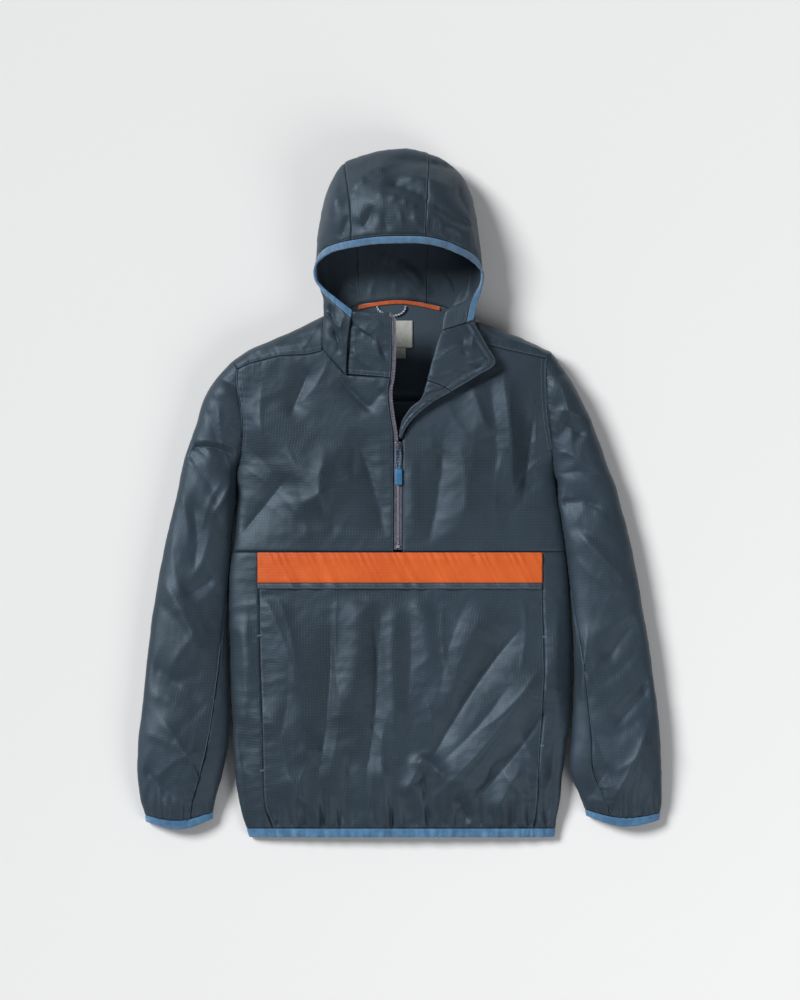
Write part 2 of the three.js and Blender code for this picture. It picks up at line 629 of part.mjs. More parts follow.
// Point of a sleeve's bottom sheet, by the same share
function sleeveUnder(section, share) {
  const { outer, inner, outerZ, innerLow, bow, last } = section;
  const width = outer.distanceTo(inner);
  const roll = Math.min(ROLL_UNDER / width, ROLL_MOST);
  const plan = vec(inner.x - outer.x, inner.y - outer.y).normalize();
  const place = (f, z) =>
    vec(lerp(outer.x, inner.x, f), lerp(outer.y, inner.y, f) + 0.4 * bow * Math.sin(Math.PI * f), z);
  const curl = (f, height, toward) => {
    const c = 1 - f / roll;
    const up = Math.sqrt(Math.max(0, 1 - c * c));
    return {
      z: height * (1 - up),
      d: plan.clone().multiplyScalar((toward * c * height) / (roll * width)).setZ(up).normalize(),
    };
  };
  if (share < roll) {
    const bent = curl(share, outerZ, 1);
    return { p: place(share, bent.z), d: bent.d };
  }
  if (1 - share < roll && innerLow > 0.01 && !last) {
    const bent = curl(1 - share, innerLow, -1);
    return { p: place(share, bent.z), d: bent.d };
  }
  return { p: place(share, 0), d: vec(0, 0, 1) };
}

const crowdBoth = (t) => (1 - Math.cos(Math.PI * t)) / 2;
const SLEEVE_TOP_COLUMNS = steps(10);
const SLEEVE_STRIP_COLUMNS = steps(5);
const underShares = (section) => {
  const width = section.outer.distanceTo(section.inner);
  const roll = Math.min(ROLL_UNDER / width, ROLL_MOST);
  return { roll, bend: steps(3).map((t) => roll * (1 - Math.cos((Math.PI / 2) * t))) };
};
const UNDER_SEAM_SHARE = 0.62; // the under sleeve's hidden seam on the surface, from the outer edge
function sleeveRows(name) {
  const side = SIDES[name];
  const seamRows = armholeRows(side).map((seamY) => {
    const rows = SLEEVES[name].map((r, index) => ({ index, innerY: r.innerY })).slice(UNDERARM_ROW);
    const at = track(rows, "innerY", "index")(seamY);
    return { at, seamY };
  });
  return [...SLEEVE_LOW_ROWS.map((at) => ({ at })), ...seamRows];
}
for (const name of Object.keys(SLEEVES)) {
  const sections = sleeveRows(name).map((row) => ({ ...sleeveSection(name, row), at: row.at }));
  const upper = sections.map((section) => {
    const end = 1 - seamShare(section.at);
    const { roll, bend } = underShares(section);
    const seamAt = Math.max(UNDER_SEAM_SHARE, roll + 0.1);
    const underShare = [seamAt, lerp(seamAt, roll, 0.5), ...[...bend].reverse()];
    const under = underShare.map((f) => sleeveUnder(section, f));
    const top = SLEEVE_TOP_COLUMNS.slice(1).map((t) => sleeveTop(section, crowdBoth(t) * end));
    return [...under, ...top];
  });
  add("sleeve_upper_" + name, clothWall(upper), SLATE);
  const under = sections.map((section) => {
    const share = seamShare(section.at);
    const { roll } = underShares(section);
    const seamAt = Math.max(UNDER_SEAM_SHARE, roll + 0.1);
    const floorShare = [seamAt, lerp(seamAt, 1 - roll, 0.5)];
    const floor = floorShare.map((f) => sleeveUnder(section, Math.min(f, 1 - 1e-3)));
    const cut = lerp(1, 0.45, smooth(share / 0.1));
    const round = SLEEVE_STRIP_COLUMNS.map((t) =>
      t <= cut
        ? sleeveUnder(section, 1 - roll * (1 - Math.sin(((Math.PI / 2) * t) / cut)))
        : sleeveTop(section, 1 - share * (1 - Math.cos(((Math.PI / 2) * (t - cut)) / (1 - cut)))),
    );
    return [...floor, ...round];
  });
  add("sleeve_under_" + name, clothWall(under), SLATE);

  const ring = [0, CUFF_SEAM_ROW - 0.01].map((at) => {
    const section = sleeveSection(name, { at });
    const top = SLEEVE_TOP_COLUMNS.map((t) => sleeveTop(section, crowdBoth(t)));
    const low = steps(14).slice(1, -1).map((t) => sleeveUnder(section, 1 - crowdBoth(t)));
    return [...top, ...low];
  });
  const cuff = clothWall(ring, { wall: BINDING_THICK, lift: BINDING_PROUD, seams: "n", ring: true });
  add("cuff_binding_" + name, cuff, SKY_BLUE, { roughness: 0.8 });
}

// Hem binding, all round
{
  const shares = steps(44).map((t) => crowdBoth(t));
  const ring = [HEM_Y, HEM_SEAM_Y].map((y) => {
    const x = (f) => lerp(body.left(y), body.right(y), f);
    const front = shares.map((f) => frontPoint(x(f), y));
    const back = shares.slice(1, -1).reverse().filter((_, i) => i % 2 === 0).map((f) => backPoint(x(f), y));
    return [...front, ...back];
  });
  const hem = clothWall(ring, { wall: BINDING_THICK, lift: BINDING_PROUD, seams: "n", ring: true });
  add("hem_binding", hem, SKY_BLUE, { roughness: 0.8 });
}

// Hood: stations from the left collar's seam round the face opening to the right collar's seam. Each station
// is a section from the brim over the dome or side to the outline, then under and to the neck's seam.
const HOOD = table(
  [
    "brimX", "brimY", "brimZ", "domeX", "domeY", "domeZ", "sideX", "sideY", "sideZ",
    "underX", "underY", "underZ", "neckX", "neckY", "neckZ",
  ],
  [
    [-69, 264, 78, -73, 240, 76, -76, 215, 72, -77, 193, 68, -78, 171, 66],
    [-92, 282, 71, -91, 254, 73, -94, 232, 70, -98, 212, 66, -99, 195, 62],
    [-112, 298, 63, -106, 276, 63, -108, 254, 61, -110, 230, 61, -111, 209, 59],
    [-121, 307, 58, -113, 292, 52, -109, 276, 49, -108, 262, 49, -109, 246, 52],
    [-124, 316, 55, -117, 303, 45, -110, 292, 37, -108, 276, 28, -108, 258, 22],
    [-123, 328, 55, -122, 321, 44, -119, 316, 28, -110, 300, 6, -91, 265, 8],
    [-118, 336, 60, -120, 341, 50, -120, 345, 26, -108, 342, 0, -78, 269, 3],
    [-102, 347, 75, -114, 368, 62, -118, 376, 28, -106, 372, 0, -66, 272, 0],
    [-86, 352, 88, -105, 392, 79, -112, 408, 31, -98, 402, 0, -62, 273, 0],
    [-78, 353.5, 94, -96, 421, 88, -101, 446, 35, -88, 436, 0, -60, 274, 0],
    [-70, 355, 98, -72, 415, 96, -80, 478, 40, -72, 462, 0, -57, 275, 0],
    [-37, 359.5, 108, -39, 424, 106, -45, 491, 42, -43, 473, 0, -28, 279, 0],
    [0, 361, 110, 0, 428, 108, 0, 499, 43, 0, 480, 0, 0, 281, 0],
    [37, 360, 107, 40, 424, 106, 43, 492, 42, 40, 474, 0, 40, 276, 0],
    [67, 353.5, 97, 72, 408, 96, 80, 471, 38, 70, 456, 0, 59, 271, 0],
    [88, 344.5, 86, 97, 386, 82, 102, 438, 33, 89, 428, 0, 66, 269, 0],
    [102, 337.5, 76, 109, 362, 67, 112, 386, 28, 98, 381, 0, 72, 267, 0],
    [114, 328, 66, 117, 343, 53, 116, 347, 26, 102, 343, 0, 82, 263, 3],
    [121, 319, 60, 119, 314, 47, 115, 311, 28, 105, 300, 5, 92, 259, 8],
    [121, 309, 58, 116, 298, 50, 111, 285, 38, 108, 270, 28, 109, 250, 22],
    [117, 290, 60, 106, 284, 61, 92, 274, 58, 97, 262, 48, 111, 238, 50],
    [111, 272, 66, 90, 269, 72, 68, 264, 77, 74, 255, 67, 112, 228, 58],
    [106, 251, 70, 83, 243, 77, 61, 235, 81, 68, 231, 73, 113, 219, 60],
  ],
);
const HOOD_LEFT_SEAM = 10;
const HOOD_RIGHT_SEAM = 13;
const HOOD_FOLDS = table(
  ["x1", "y1", "x2", "y2", "wide", "high"],
  [
    [-17, 446, 38, 424, 11, -7],
    [38, 424, 104, 386, 11, -7],
    [-8, 482, 82, 470, 10, -4],
    [-40, 412, -56, 382, 10, -5],
    [20, 400, 30, 378, 9, 3],
    [-70, 440, -20, 470, 12, 4],
    [-100, 268, -92, 226, 7, -4],
    [-108, 262, -86, 240, 6, 3],
  ],
);
const HOOD_KNOTS = ["brim", "dome", "side", "under", "neck"];
const HOOD_ROWS = 10;
const NO_CREASE_BELOW_Z = 30;
function hoodSections() {
  return HOOD.map((station) => {
    const knots = HOOD_KNOTS.map((k) => vec(station[k + "X"], station[k + "Y"], station[k + "Z"]));
    return new THREE.CatmullRomCurve3(knots, false, "centripetal");
  });
}
// A lofted grid: samples of each section, then a smooth curve across the sections, with one row added between
function loft(samples) {
  const strands = samples[0].map((_, i) => {
    const strand = new THREE.CatmullRomCurve3(samples.map((s) => s[i]), false, "centripetal");
    return steps(2 * (samples.length - 1)).map((t) => strand.getPoint(t));
  });
  return samples[0].map((_, i) => strands[i]);
}
const creased = (q) => {
  const lifted = q.clone();
  if (q.z > NO_CREASE_BELOW_Z) lifted.z += foldHeight(q.x, q.y, HOOD_FOLDS);
  lifted.z = Math.max(0, lifted.z);
  return lifted;
};
// The way in at each point of a grid, from its neighbours; side is 1 or -1
function gridDirections(points, side) {
  return points.map((row, i) =>
    row.map((_, j) => {
      const up = points[Math.min(i + 1, points.length - 1)][j].clone().sub(points[Math.max(i - 1, 0)][j]);
      const over = row[Math.min(j + 1, row.length - 1)].clone().sub(row[Math.max(j - 1, 0)]);
      return over.cross(up).multiplyScalar(side).normalize();
    }),
  );
}
const withDirections = (points, side) => {
  const d = gridDirections(points, side);
  return points.map((row, i) => row.map((p, j) => ({ p, d: d[i][j] })));
};
const hoodBand = (from, to, rows) =>
  hoodSections().map((section) => {
    const length = section.getLength();
    const start = from / length;
    const end = to === null ? 1 : to / length;
    return steps(rows).map((t) => section.getPointAt(lerp(start, end, t)));
  });
{
  const rows = loft(hoodBand(BINDING_WIDTH + 2 * SEAM_GAP, null, HOOD_ROWS));
  const shell = withDirections(rows.map((row) => row.map(creased)), -1);
  const piece = (first, last) => shell.map((row) => row.slice(2 * first, 2 * last + 1));
  add("hood_left", clothWall(piece(0, HOOD_LEFT_SEAM)), SLATE);
  add("hood_centre", clothWall(piece(HOOD_LEFT_SEAM, HOOD_RIGHT_SEAM)), SLATE);
  add("hood_right", clothWall(piece(HOOD_RIGHT_SEAM, HOOD.length - 1)), SLATE);
  const rim = withDirections(loft(hoodBand(0, BINDING_WIDTH, 2)), -1);
  const binding = clothWall(rim, { wall: BINDING_THICK, lift: BINDING_PROUD, seams: "n" });
  add("hood_binding", binding, SKY_BLUE, { roughness: 0.8 });
}

// Left collar front: it stands up from the neck's seam to its top edge.
const COLLAR_COLUMNS = steps(7);
const COLLAR_PUFF = 3;
{
  const zipTop = vec(-16, 261);
  const west = COLLAR_ROWS.map((v) => vec(lerp(-76.2, -68.7, v), lerp(172.4, 263, v)));
  const east = collarY.map((y) => vec(leftZipEdge(y), y));
  const south = COLLAR_COLUMNS.map((u) => west[0].clone().lerp(east[0], u));
  const north = COLLAR_COLUMNS.map((u) => west.at(-1).clone().lerp(zipTop, u));
  const plan = planPatch({ south, north, west, east, across: COLLAR_COLUMNS, up: COLLAR_ROWS });
  const points = plan.map((row, i) =>
    row.map((q, j) => {
      const [u, v] = [COLLAR_COLUMNS[j], COLLAR_ROWS[i]];
      const low = frontZ(south[j].x, south[j].y);
      const puff = COLLAR_PUFF * Math.sin(Math.PI * u) * Math.sin(Math.PI * v);
      return vec(q.x, q.y, lerp(low, lerp(78, 80, u), v) + puff);
    }),
  );
  const shell = withDirections(points, -1);
  shell[0].forEach((g) => {
    g.d = inward(frontZ, -1, g.p.x, g.p.y);
  });
  shell.forEach((row) => {
    row.at(-1).d = vec(0, 0, -1);
  });
  add("collar_left", clothWall(shell), SLATE);
}

// Right collar front and the top of the right front, turned out from the zip's edge over the roll to the seam
// underneath. Rows run from the slider up to the hood's seam.
const TURNED = table(
  ["edgeX", "edgeY", "edgeZ", "midX", "midY", "midZ", "rollX", "rollY", "rollZ", "footX", "footY"],
  [
    [2.6, 80, 67, 0.8, 81, 68.5, -1.2, 82, 68, 2.9, 79.8],
    [11, 96, 69, 7, 99, 71, 3, 102, 71, 9.2, 97],
    [25, 112, 71, 20, 117, 74, 14, 121, 74, 23.3, 116],
    [48, 131, 73, 41, 135, 77, 32, 138, 78, 44.3, 139],
    [76, 147, 74, 60, 156, 79, 40, 163, 81, 59.1, 164],
    [112, 169, 75, 83, 182, 80, 48, 193, 83, 72.2, 186],
    [139, 188, 73, 97, 200, 80, 52, 208, 83, 84.3, 199.1],
    [126, 215, 72, 92, 218, 79, 56, 221, 82, 98.5, 210],
    [107, 249.2, 70.3, 84, 242.2, 77, 61, 234, 80.7, 112.5, 217.6],
  ],
);
const TURNED_COLLAR_ROW = 4; // where the collar is sewn to the front
const TURNED_EDGE_TAPE = 4; // depth of the roll below the top layer
const TURNED_UNDER_BACK = 2.5; // how far the underside lies toward the hem from the hood's own
{
  const sections = TURNED.map((r) => {
    const roll = vec(r.rollX, r.rollY, r.rollZ);
    const foot = vec(r.footX, r.footY, frontZ(r.footX, r.footY));
    const under = roll.clone().lerp(foot, 0.22).setZ(lerp(r.rollZ, foot.z, 0.4) - TURNED_EDGE_TAPE / 2);
    under.y -= TURNED_UNDER_BACK;
    const knots = [vec(r.edgeX, r.edgeY, r.edgeZ), vec(r.midX, r.midY, r.midZ), roll, under, foot];
    const curve = new THREE.CatmullRomCurve3(knots, false, "centripetal");
    return steps(11).map((t) => curve.getPoint(t));
  });
  const whole = loft(sections);
  const shell = withDirections(whole, -1);
  shell.at(-1).forEach((g) => {
    g.d = vec(0, 0, -1);
  });
  const part = (first, last) => shell.map((row) => row.slice(2 * first, 2 * last + 1));
  add("front_turned_right", clothWall(part(0, TURNED_COLLAR_ROW)), SLATE);
  add("collar_right", clothWall(part(TURNED_COLLAR_ROW, TURNED.length - 1)), SLATE);
}

// Zip tapes: let in beside the closed zip, and along the open left edge up to the collar's top
const TAPE_LOW_Y = FLAP_SEAM_Y + 3;
const CHAIN_SLOT = 0.5; // half the gap between the two tapes, where the teeth sit
function tapeWall(outerEdge, innerEdge, rowsY, height) {
  const grid = rowsY.map((y) =>
    [outerEdge(y), innerEdge(y)].map((x) => ({ p: vec(x, y, height(x, y) - TAPE_SUNK), d: vec(0, 0, -1) })),
  );
  return clothWall(grid, { wall: TAPE_WALL, seams: "" });
}
const openTapeY = [TAPE_LOW_Y, ...leftZipY.slice(1), ...collarY.slice(1)];
const COLLAR_EDGE_TOP = { y: 261, z: 80 };
const collarEdgeZ = (y) => {
  const share = (y - NECK_LEFT_ZIP_Y) / (COLLAR_EDGE_TOP.y - NECK_LEFT_ZIP_Y);
  return lerp(frontZ(-13, NECK_LEFT_ZIP_Y), COLLAR_EDGE_TOP.z, share);
};
const leftTapeZ = (x, y) => (y > NECK_LEFT_ZIP_Y ? collarEdgeZ(y) : frontZ(x, y));
const leftTapeOuter = (y) => leftZipEdge(y) + SEAM_GAP;
const leftTapeInner = (y) => lerp(ZIP_X - CHAIN_SLOT, leftTapeOuter(y) + TAPE_WIDTH, smooth((y - 72) / 20));
add("zip_tape_left", tapeWall(leftTapeOuter, leftTapeInner, openTapeY, leftTapeZ), TAPE_GREY);
const closedTapeY = steps(9).map((t) => lerp(TAPE_LOW_Y, 74, t));
const rightTape = tapeWall(() => ZIP_X + CHAIN_SLOT, () => CLOSED_RIGHT_X - SEAM_GAP, closedTapeY, frontZ);
add("zip_tape_right", rightTape, TAPE_GREY);

// A block with rounded corners in plan, its foot at a height
function block(x0, y0, x1, y1, z0, z1, bend) {
  const shape = new THREE.Shape();
  shape.moveTo(x0 + bend, y0).lineTo(x1 - bend, y0).quadraticCurveTo(x1, y0, x1, y0 + bend);
  shape.lineTo(x1, y1 - bend).quadraticCurveTo(x1, y1, x1 - bend, y1);
  shape.lineTo(x0 + bend, y1).quadraticCurveTo(x0, y1, x0, y1 - bend);
  shape.lineTo(x0, y0 + bend).quadraticCurveTo(x0, y0, x0 + bend, y0);
  const options = { depth: z1 - z0, bevelEnabled: false, curveSegments: 3 };
  const geometry = new THREE.ExtrudeGeometry(shape, options);
  return geometry.translate(0, 0, z0);
}

// A solid of two geometries joined
function joined(a, b) {
  const solid = (geometry) => {
    const plain = new THREE.BufferGeometry();
    const flat = geometry.index ? geometry.toNonIndexed() : geometry;
    plain.setAttribute("position", flat.getAttribute("position"));
    const merged = mergeVertices(plain, 1e-4);
    return new wasm.Manifold(
      new wasm.Mesh({
        numProp: 3,
        vertProperties: merged.attributes.position.array,
        triVerts: new Uint32Array(merged.index.array),
      }),
    );
  };
  const mesh = solid(a).add(solid(b)).getMesh();
  const geometry = new THREE.BufferGeometry();
  geometry.setAttribute("position", new THREE.BufferAttribute(mesh.vertProperties, 3));
  return geometry.setIndex(new THREE.BufferAttribute(mesh.triVerts, 1));
}

// Slider: a body over the chain and an arch that holds the pull's cord
const SLIDER = { y0: 58, y1: 75, halfWidth: 4.2, thick: 2.6 };
const ARCH = { y0: 60.5, y1: 73, halfWidth: 1.5, rise: 4.6, bar: 1.3 };
const sliderZ = frontZ(ZIP_X, 66) - TAPE_SUNK + 0.4;
const archFoot = sliderZ + SLIDER.thick;
{
  const { y0, y1, halfWidth, thick } = SLIDER;
  const plate = block(ZIP_X - halfWidth, y0, ZIP_X + halfWidth, y1, sliderZ, sliderZ + thick, 2.2);
  const profile = new THREE.Shape();
  const low = -0.5;
  profile.moveTo(ARCH.y0, low).lineTo(ARCH.y0, ARCH.rise - 1.5);
  profile.quadraticCurveTo(ARCH.y0, ARCH.rise, ARCH.y0 + 2, ARCH.rise).lineTo(ARCH.y1 - 2, ARCH.rise);
  profile.quadraticCurveTo(ARCH.y1, ARCH.rise, ARCH.y1, ARCH.rise - 1.5).lineTo(ARCH.y1, low);
  profile.lineTo(ARCH.y1 - ARCH.bar, low).lineTo(ARCH.y1 - ARCH.bar, ARCH.rise - ARCH.bar);
  profile.lineTo(ARCH.y0 + ARCH.bar, ARCH.rise - ARCH.bar).lineTo(ARCH.y0 + ARCH.bar, low);
  const archOptions = { depth: 2 * ARCH.halfWidth, bevelEnabled: false, curveSegments: 4 };
  const arch = new THREE.ExtrudeGeometry(profile, archOptions);
  arch.applyMatrix4(new THREE.Matrix4().makeBasis(vec(0, 1, 0), vec(0, 0, 1), vec(1, 0, 0)));
  arch.translate(ZIP_X - ARCH.halfWidth, 0, archFoot);
  add("zip_slider", joined(plate, arch), TAPE_GREY, { roughness: 0.4, metalness: 0.8 });
}
const STOP_Y = -77;
const stopZ = frontZ(ZIP_X, STOP_Y) - TAPE_SUNK + 0.35;
add("zip_stop", block(ZIP_X - 2.5, STOP_Y - 2, ZIP_X + 2.5, STOP_Y + 2, stopZ, stopZ + 1.8, 0.6), TAPE_GREY);

// Pull: a cord looped under the arch, and the grip moulded round its ends
const PULL_CORD = 1.9;
const PULL_PIVOT = { y: 64.4, z: archFoot + 1.55 };
const GRIP = { x: ZIP_X + 1, y0: 12, y1: 36, halfWidth: 5.2, thick: 4.4, bend: 3 };
function round(radius, sides) {
  const points = steps(sides).slice(0, -1).map((t) => {
    const angle = 2 * Math.PI * t;
    return new THREE.Vector2(radius * Math.cos(angle), radius * Math.sin(angle));
  });
  return new THREE.Shape(points);
}
function tube(points, diameter, sides, count, closed = false) {
  const path = new THREE.CatmullRomCurve3(points, closed, "centripetal");
  const options = { steps: count, extrudePath: path, bevelEnabled: false };
  return new THREE.ExtrudeGeometry(round(diameter / 2, sides), options);
}
const pull = new THREE.Group();
garment.add(pull);
{
  const { y, z } = PULL_PIVOT;
  const half = 3.1;
  const low = frontZ(ZIP_X, 45) + 2.4;
  const loop = [
    vec(ZIP_X - 1.6, GRIP.y1 + SEAM_GAP, low),
    vec(ZIP_X - half, 46, low),
    vec(ZIP_X - half, y - 3.4, z + 0.6),
    vec(ZIP_X - 2.2, y - 0.3, z),
    vec(ZIP_X + 2.2, y - 0.3, z),
    vec(ZIP_X + half, y - 3.4, z + 0.6),
    vec(ZIP_X + half, 46, low),
    vec(ZIP_X + 1.6, GRIP.y1 + SEAM_GAP, low),
  ];
  pull.add(add("pull_cord", tube(loop, PULL_CORD, 6, 24), PALE_BLUE, { roughness: 0.9 }));
  const gripZ = frontZ(ZIP_X, 24) + 0.5;
  const [gripLeft, gripRight] = [GRIP.x - GRIP.halfWidth, GRIP.x + GRIP.halfWidth];
  const grip = block(gripLeft, GRIP.y0, gripRight, GRIP.y1, gripZ, gripZ + GRIP.thick, GRIP.bend);
  pull.add(add("pull_grip", grip, SKY_BLUE, { roughness: 0.5 }));
}

// Flap: the orange band and the grey strip below it, lying on the pocket panel
const FLAP_LEFT = -206;
const FLAP_RIGHT = 207;
const FLAP_GAP = 0.5;
const FLAP_COLUMNS = steps(16);
const onPanel = (name, topY, lowY, colour) => {
  const rowsY = [topY, lerp(topY, lowY, 0.5), lowY];
  const grid = gridOf(rowsY, () => FLAP_COLUMNS.map((u) => lerp(FLAP_LEFT, FLAP_RIGHT, u)), frontPoint);
  add(name, clothWall(grid, { lift: WALL + FLAP_GAP, wall: WALL }), colour, { roughness: 0.7 });
};
onPanel("flap_band", FLAP_SEAM_Y - 1, FLAP_SEAM_Y - FLAP_DEPTH - 1, ORANGE);
onPanel("flap_strip", FLAP_SEAM_Y - FLAP_DEPTH - 1, FLAP_SEAM_Y - FLAP_DEPTH - FLAP_STRIP - 1, GREY_STRIP);

// Inside the neck: tape over the back neck seam, hang loop and labels on the back yoke's inner face
const INNER_FACE = WALL + SEAM_GAP;
const NECK_TAPE = { width: 5.5, thick: 1.2 };
{
  const line = planCurve([[-60, 270], [-28, 276], [0, 278], [30, 274.5], [59, 268]], 14);
  const grid = [-0.5, 0.5].map((side) =>
    line.map((q) => ({
      p: vec(q.x, q.y + side * NECK_TAPE.width, INNER_FACE + NECK_TAPE.thick),
      d: vec(0, 0, -1),
    })),
  );
  add("neck_tape", clothWall(grid, { wall: NECK_TAPE.thick, seams: "" }), ORANGE);
}
const HANG_CORD = 3;
const HANG_LOOP = [[-33, 271.6], [-30, 266], [-20, 260], [-8, 258], [3, 261.5], [8, 267], [9, 272]];
{
  const z = INNER_FACE + HANG_CORD / 2;
  const loop = HANG_LOOP.map(([x, y]) => vec(x, y, z));
  add("hang_loop", tube(loop, HANG_CORD, 8, 18), PALE_BLUE, { roughness: 0.9 });
}
const LABEL = { thick: 0.8, bend: 0.5 };
for (const [name, left, low, right, high] of [
  ["label_main", -14, 211, 19, 251],
  ["label_small", -14, 196, 9, 210.7],
]) {
  const label = block(left, low, right, high, INNER_FACE, INNER_FACE + LABEL.thick, LABEL.bend);
  add(name, label, LABEL_GREY, { roughness: 0.9 });
}

export default garment;
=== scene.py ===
"""Looks of a hooded half-zip anorak, laid flat on its back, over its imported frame.

The cloth is laid out in millimetres, as it was cut, and becomes metres when a piece is made.
+X is the picture's right, +Y runs from hem to hood, and +Z is up from the floor.
"""
import math

import bmesh
import bpy
import numpy as np
from mathutils import Matrix, Vector


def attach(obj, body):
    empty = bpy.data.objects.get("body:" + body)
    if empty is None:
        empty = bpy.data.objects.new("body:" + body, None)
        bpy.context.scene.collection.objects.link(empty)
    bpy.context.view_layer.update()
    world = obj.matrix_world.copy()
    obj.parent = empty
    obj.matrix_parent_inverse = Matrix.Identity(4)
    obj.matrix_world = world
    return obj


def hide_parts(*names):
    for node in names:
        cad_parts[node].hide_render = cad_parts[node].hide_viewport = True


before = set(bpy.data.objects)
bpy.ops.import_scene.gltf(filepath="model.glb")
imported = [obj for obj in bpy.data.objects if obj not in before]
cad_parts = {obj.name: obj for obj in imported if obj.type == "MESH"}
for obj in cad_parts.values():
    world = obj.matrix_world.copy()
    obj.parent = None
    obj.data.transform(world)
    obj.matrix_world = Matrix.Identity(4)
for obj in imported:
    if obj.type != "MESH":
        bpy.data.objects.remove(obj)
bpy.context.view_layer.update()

MM = 0.001
WALL = 1.3  # shell and lining, as they show at a rim
SEAM_GAP = 0.3
LEAST_Z = 0.05
BINDING_WIDTH = 10
HEM_Y = -499
HEM_SEAM_Y = -487
FLAP_SEAM_Y = -85
UNDERARM_Y = 33
SHOULDER_EDGE_Z = 22
ROLL_UNDER = 14
ROLL_MOST = 0.3
ZIP_X = -2.4
CLOTH_PITCH = 2.6  # between the vertices of a panel that shows


# Camera: straight above, far off, framed as the picture is
PICTURE = {"mm_per_px": 1.45, "width": 800, "height": 1000, "middle": (0.5, -9.8), "level": 40}
CAMERA_FAR = 14


def look_down():
    camera = bpy.data.cameras.new("camera")
    camera.sensor_fit = "VERTICAL"
    tall = PICTURE["height"] * PICTURE["mm_per_px"] * MM
    camera.angle = 2 * math.atan(tall / 2 / CAMERA_FAR)
    seen = bpy.data.objects.new("camera", camera)
    x, y = PICTURE["middle"]
    seen.location = (x * MM, y * MM, CAMERA_FAR + PICTURE["level"] * MM)
    bpy.context.collection.objects.link(seen)
    bpy.context.scene.camera = seen


look_down()


# Tables and curves
def table(columns, rows):
    return [dict(zip(columns.split(), row)) for row in rows]


def track(rows, key, column):
    """A smooth curve through one column of a table, looked up by another."""
    at = np.array([row[key] for row in rows], float)
    value = np.array([row[column] for row in rows], float)
    slope = np.gradient(value, at)
    slope[1:-1] = (value[2:] - value[:-2]) / (at[2:] - at[:-2])

    def read(where):
        here = np.clip(where, at[0], at[-1])
        i = np.clip(np.searchsorted(at, here) - 1, 0, len(at) - 2)
        step = at[i + 1] - at[i]
        t = (here - at[i]) / step
        ease = t * t * (3 - 2 * t)
        bend = step * (slope[i] * t * (1 - t) ** 2 - slope[i + 1] * t * t * (1 - t))
        return value[i] + (value[i + 1] - value[i]) * ease + bend

    return read


def lerp(a, b, t):
    return a + (b - a) * t


def smooth(t):
    t = np.clip(t, 0, 1)
    return t * t * (3 - 2 * t)


def hump(t):
    """Up from 0 to 1 and down to 0 again."""
    return np.sin(math.pi * t)


def slow_start(t):
    return 1 - np.cos(math.pi / 2 * t)


def slow_end(t):
    return np.sin(math.pi / 2 * t)


def slow_ends(count):
    """Shares from 0 to 1 that lie closer together at both ends."""
    return (1 - np.cos(math.pi * np.linspace(0, 1, count))) / 2


def xyz(x, y, z):
    return np.stack([x, y, z], axis=-1)


def unit(ways, axis=1):
    return ways / np.maximum(np.linalg.norm(ways, axis=axis, keepdims=True), 1e-9)


def run_of(line):
    """How far each point of a line lies along it."""
    return np.concatenate([[0], np.cumsum(np.linalg.norm(np.diff(line, axis=0), axis=1))])


def along(line, shares):
    """Points of a polyline at shares of its length."""
    line = np.array(line, float)
    run = run_of(line)
    shares = np.asarray(shares) * run[-1]
    return np.stack([np.interp(shares, run, line[:, k]) for k in range(line.shape[1])], axis=-1)


def curve(knots, t):
    """Points of a smooth curve through knots; t counts from 0 at the first to 1 at the last."""
    knots = np.array(knots, float)
    ends = [2 * knots[0] - knots[1], 2 * knots[-1] - knots[-2]]
    p = np.vstack([ends[0], knots, ends[1]])
    place = np.asarray(t, float) * (len(knots) - 1)
    i = np.clip(np.floor(place).astype(int), 0, len(knots) - 2)
    w = (place - i)[:, None]
    p0, p1, p2, p3 = p[i], p[i + 1], p[i + 2], p[i + 3]
    pairs = ((p0, p1), (p1, p2), (p2, p3))
    g0, g1, g2 = (np.maximum(np.linalg.norm(b - a, axis=1), 1e-6)[:, None] ** 0.5 for a, b in pairs)
    m1 = ((p1 - p0) / g0 - (p2 - p0) / (g0 + g1) + (p2 - p1) / g1) * g1
    m2 = ((p2 - p1) / g1 - (p3 - p1) / (g1 + g2) + (p3 - p2) / g2) * g1
    cubic = 2 * p1 - 2 * p2 + m1 + m2
    square = -3 * p1 + 3 * p2 - 2 * m1 - m2
    return p1 + m1 * w + square * w**2 + cubic * w**3


def evenly(knots, shares):
    """Points of a smooth curve through knots at shares of its length."""
    return along(curve(knots, np.linspace(0, 1, 12 * len(knots))), shares)


# Uneven waves for gathers and puckers, and a soft noise for the crumple of thin nylon
def uneven(t, seed=0.0):
    wander = t + 1.7 * np.sin(0.31 * t + seed) + 0.8 * np.sin(0.73 * t + 2.1 * seed)
    return np.sin(wander) * (0.68 + 0.32 * np.sin(0.23 * t + 1.3 * seed))


NOISE_CELLS = 64
NOISE_TURNS = np.random.default_rng(7).uniform(0, 2 * math.pi, (NOISE_CELLS, NOISE_CELLS))


def noise(x, y):
    x, y = np.asarray(x) + 400.3, np.asarray(y) + 400.7
    i, j = np.floor(x).astype(int), np.floor(y).astype(int)
    fx, fy = x - i, y - j

    def corner(a, b):
        turn = NOISE_TURNS[(i + a) % NOISE_CELLS, (j + b) % NOISE_CELLS]
        return np.cos(turn) * (fx - a) + np.sin(turn) * (fy - b)

    sx, sy = smooth(fx), smooth(fy)
    return lerp(lerp(corner(0, 0), corner(1, 0), sx), lerp(corner(0, 1), corner(1, 1), sx), sy)


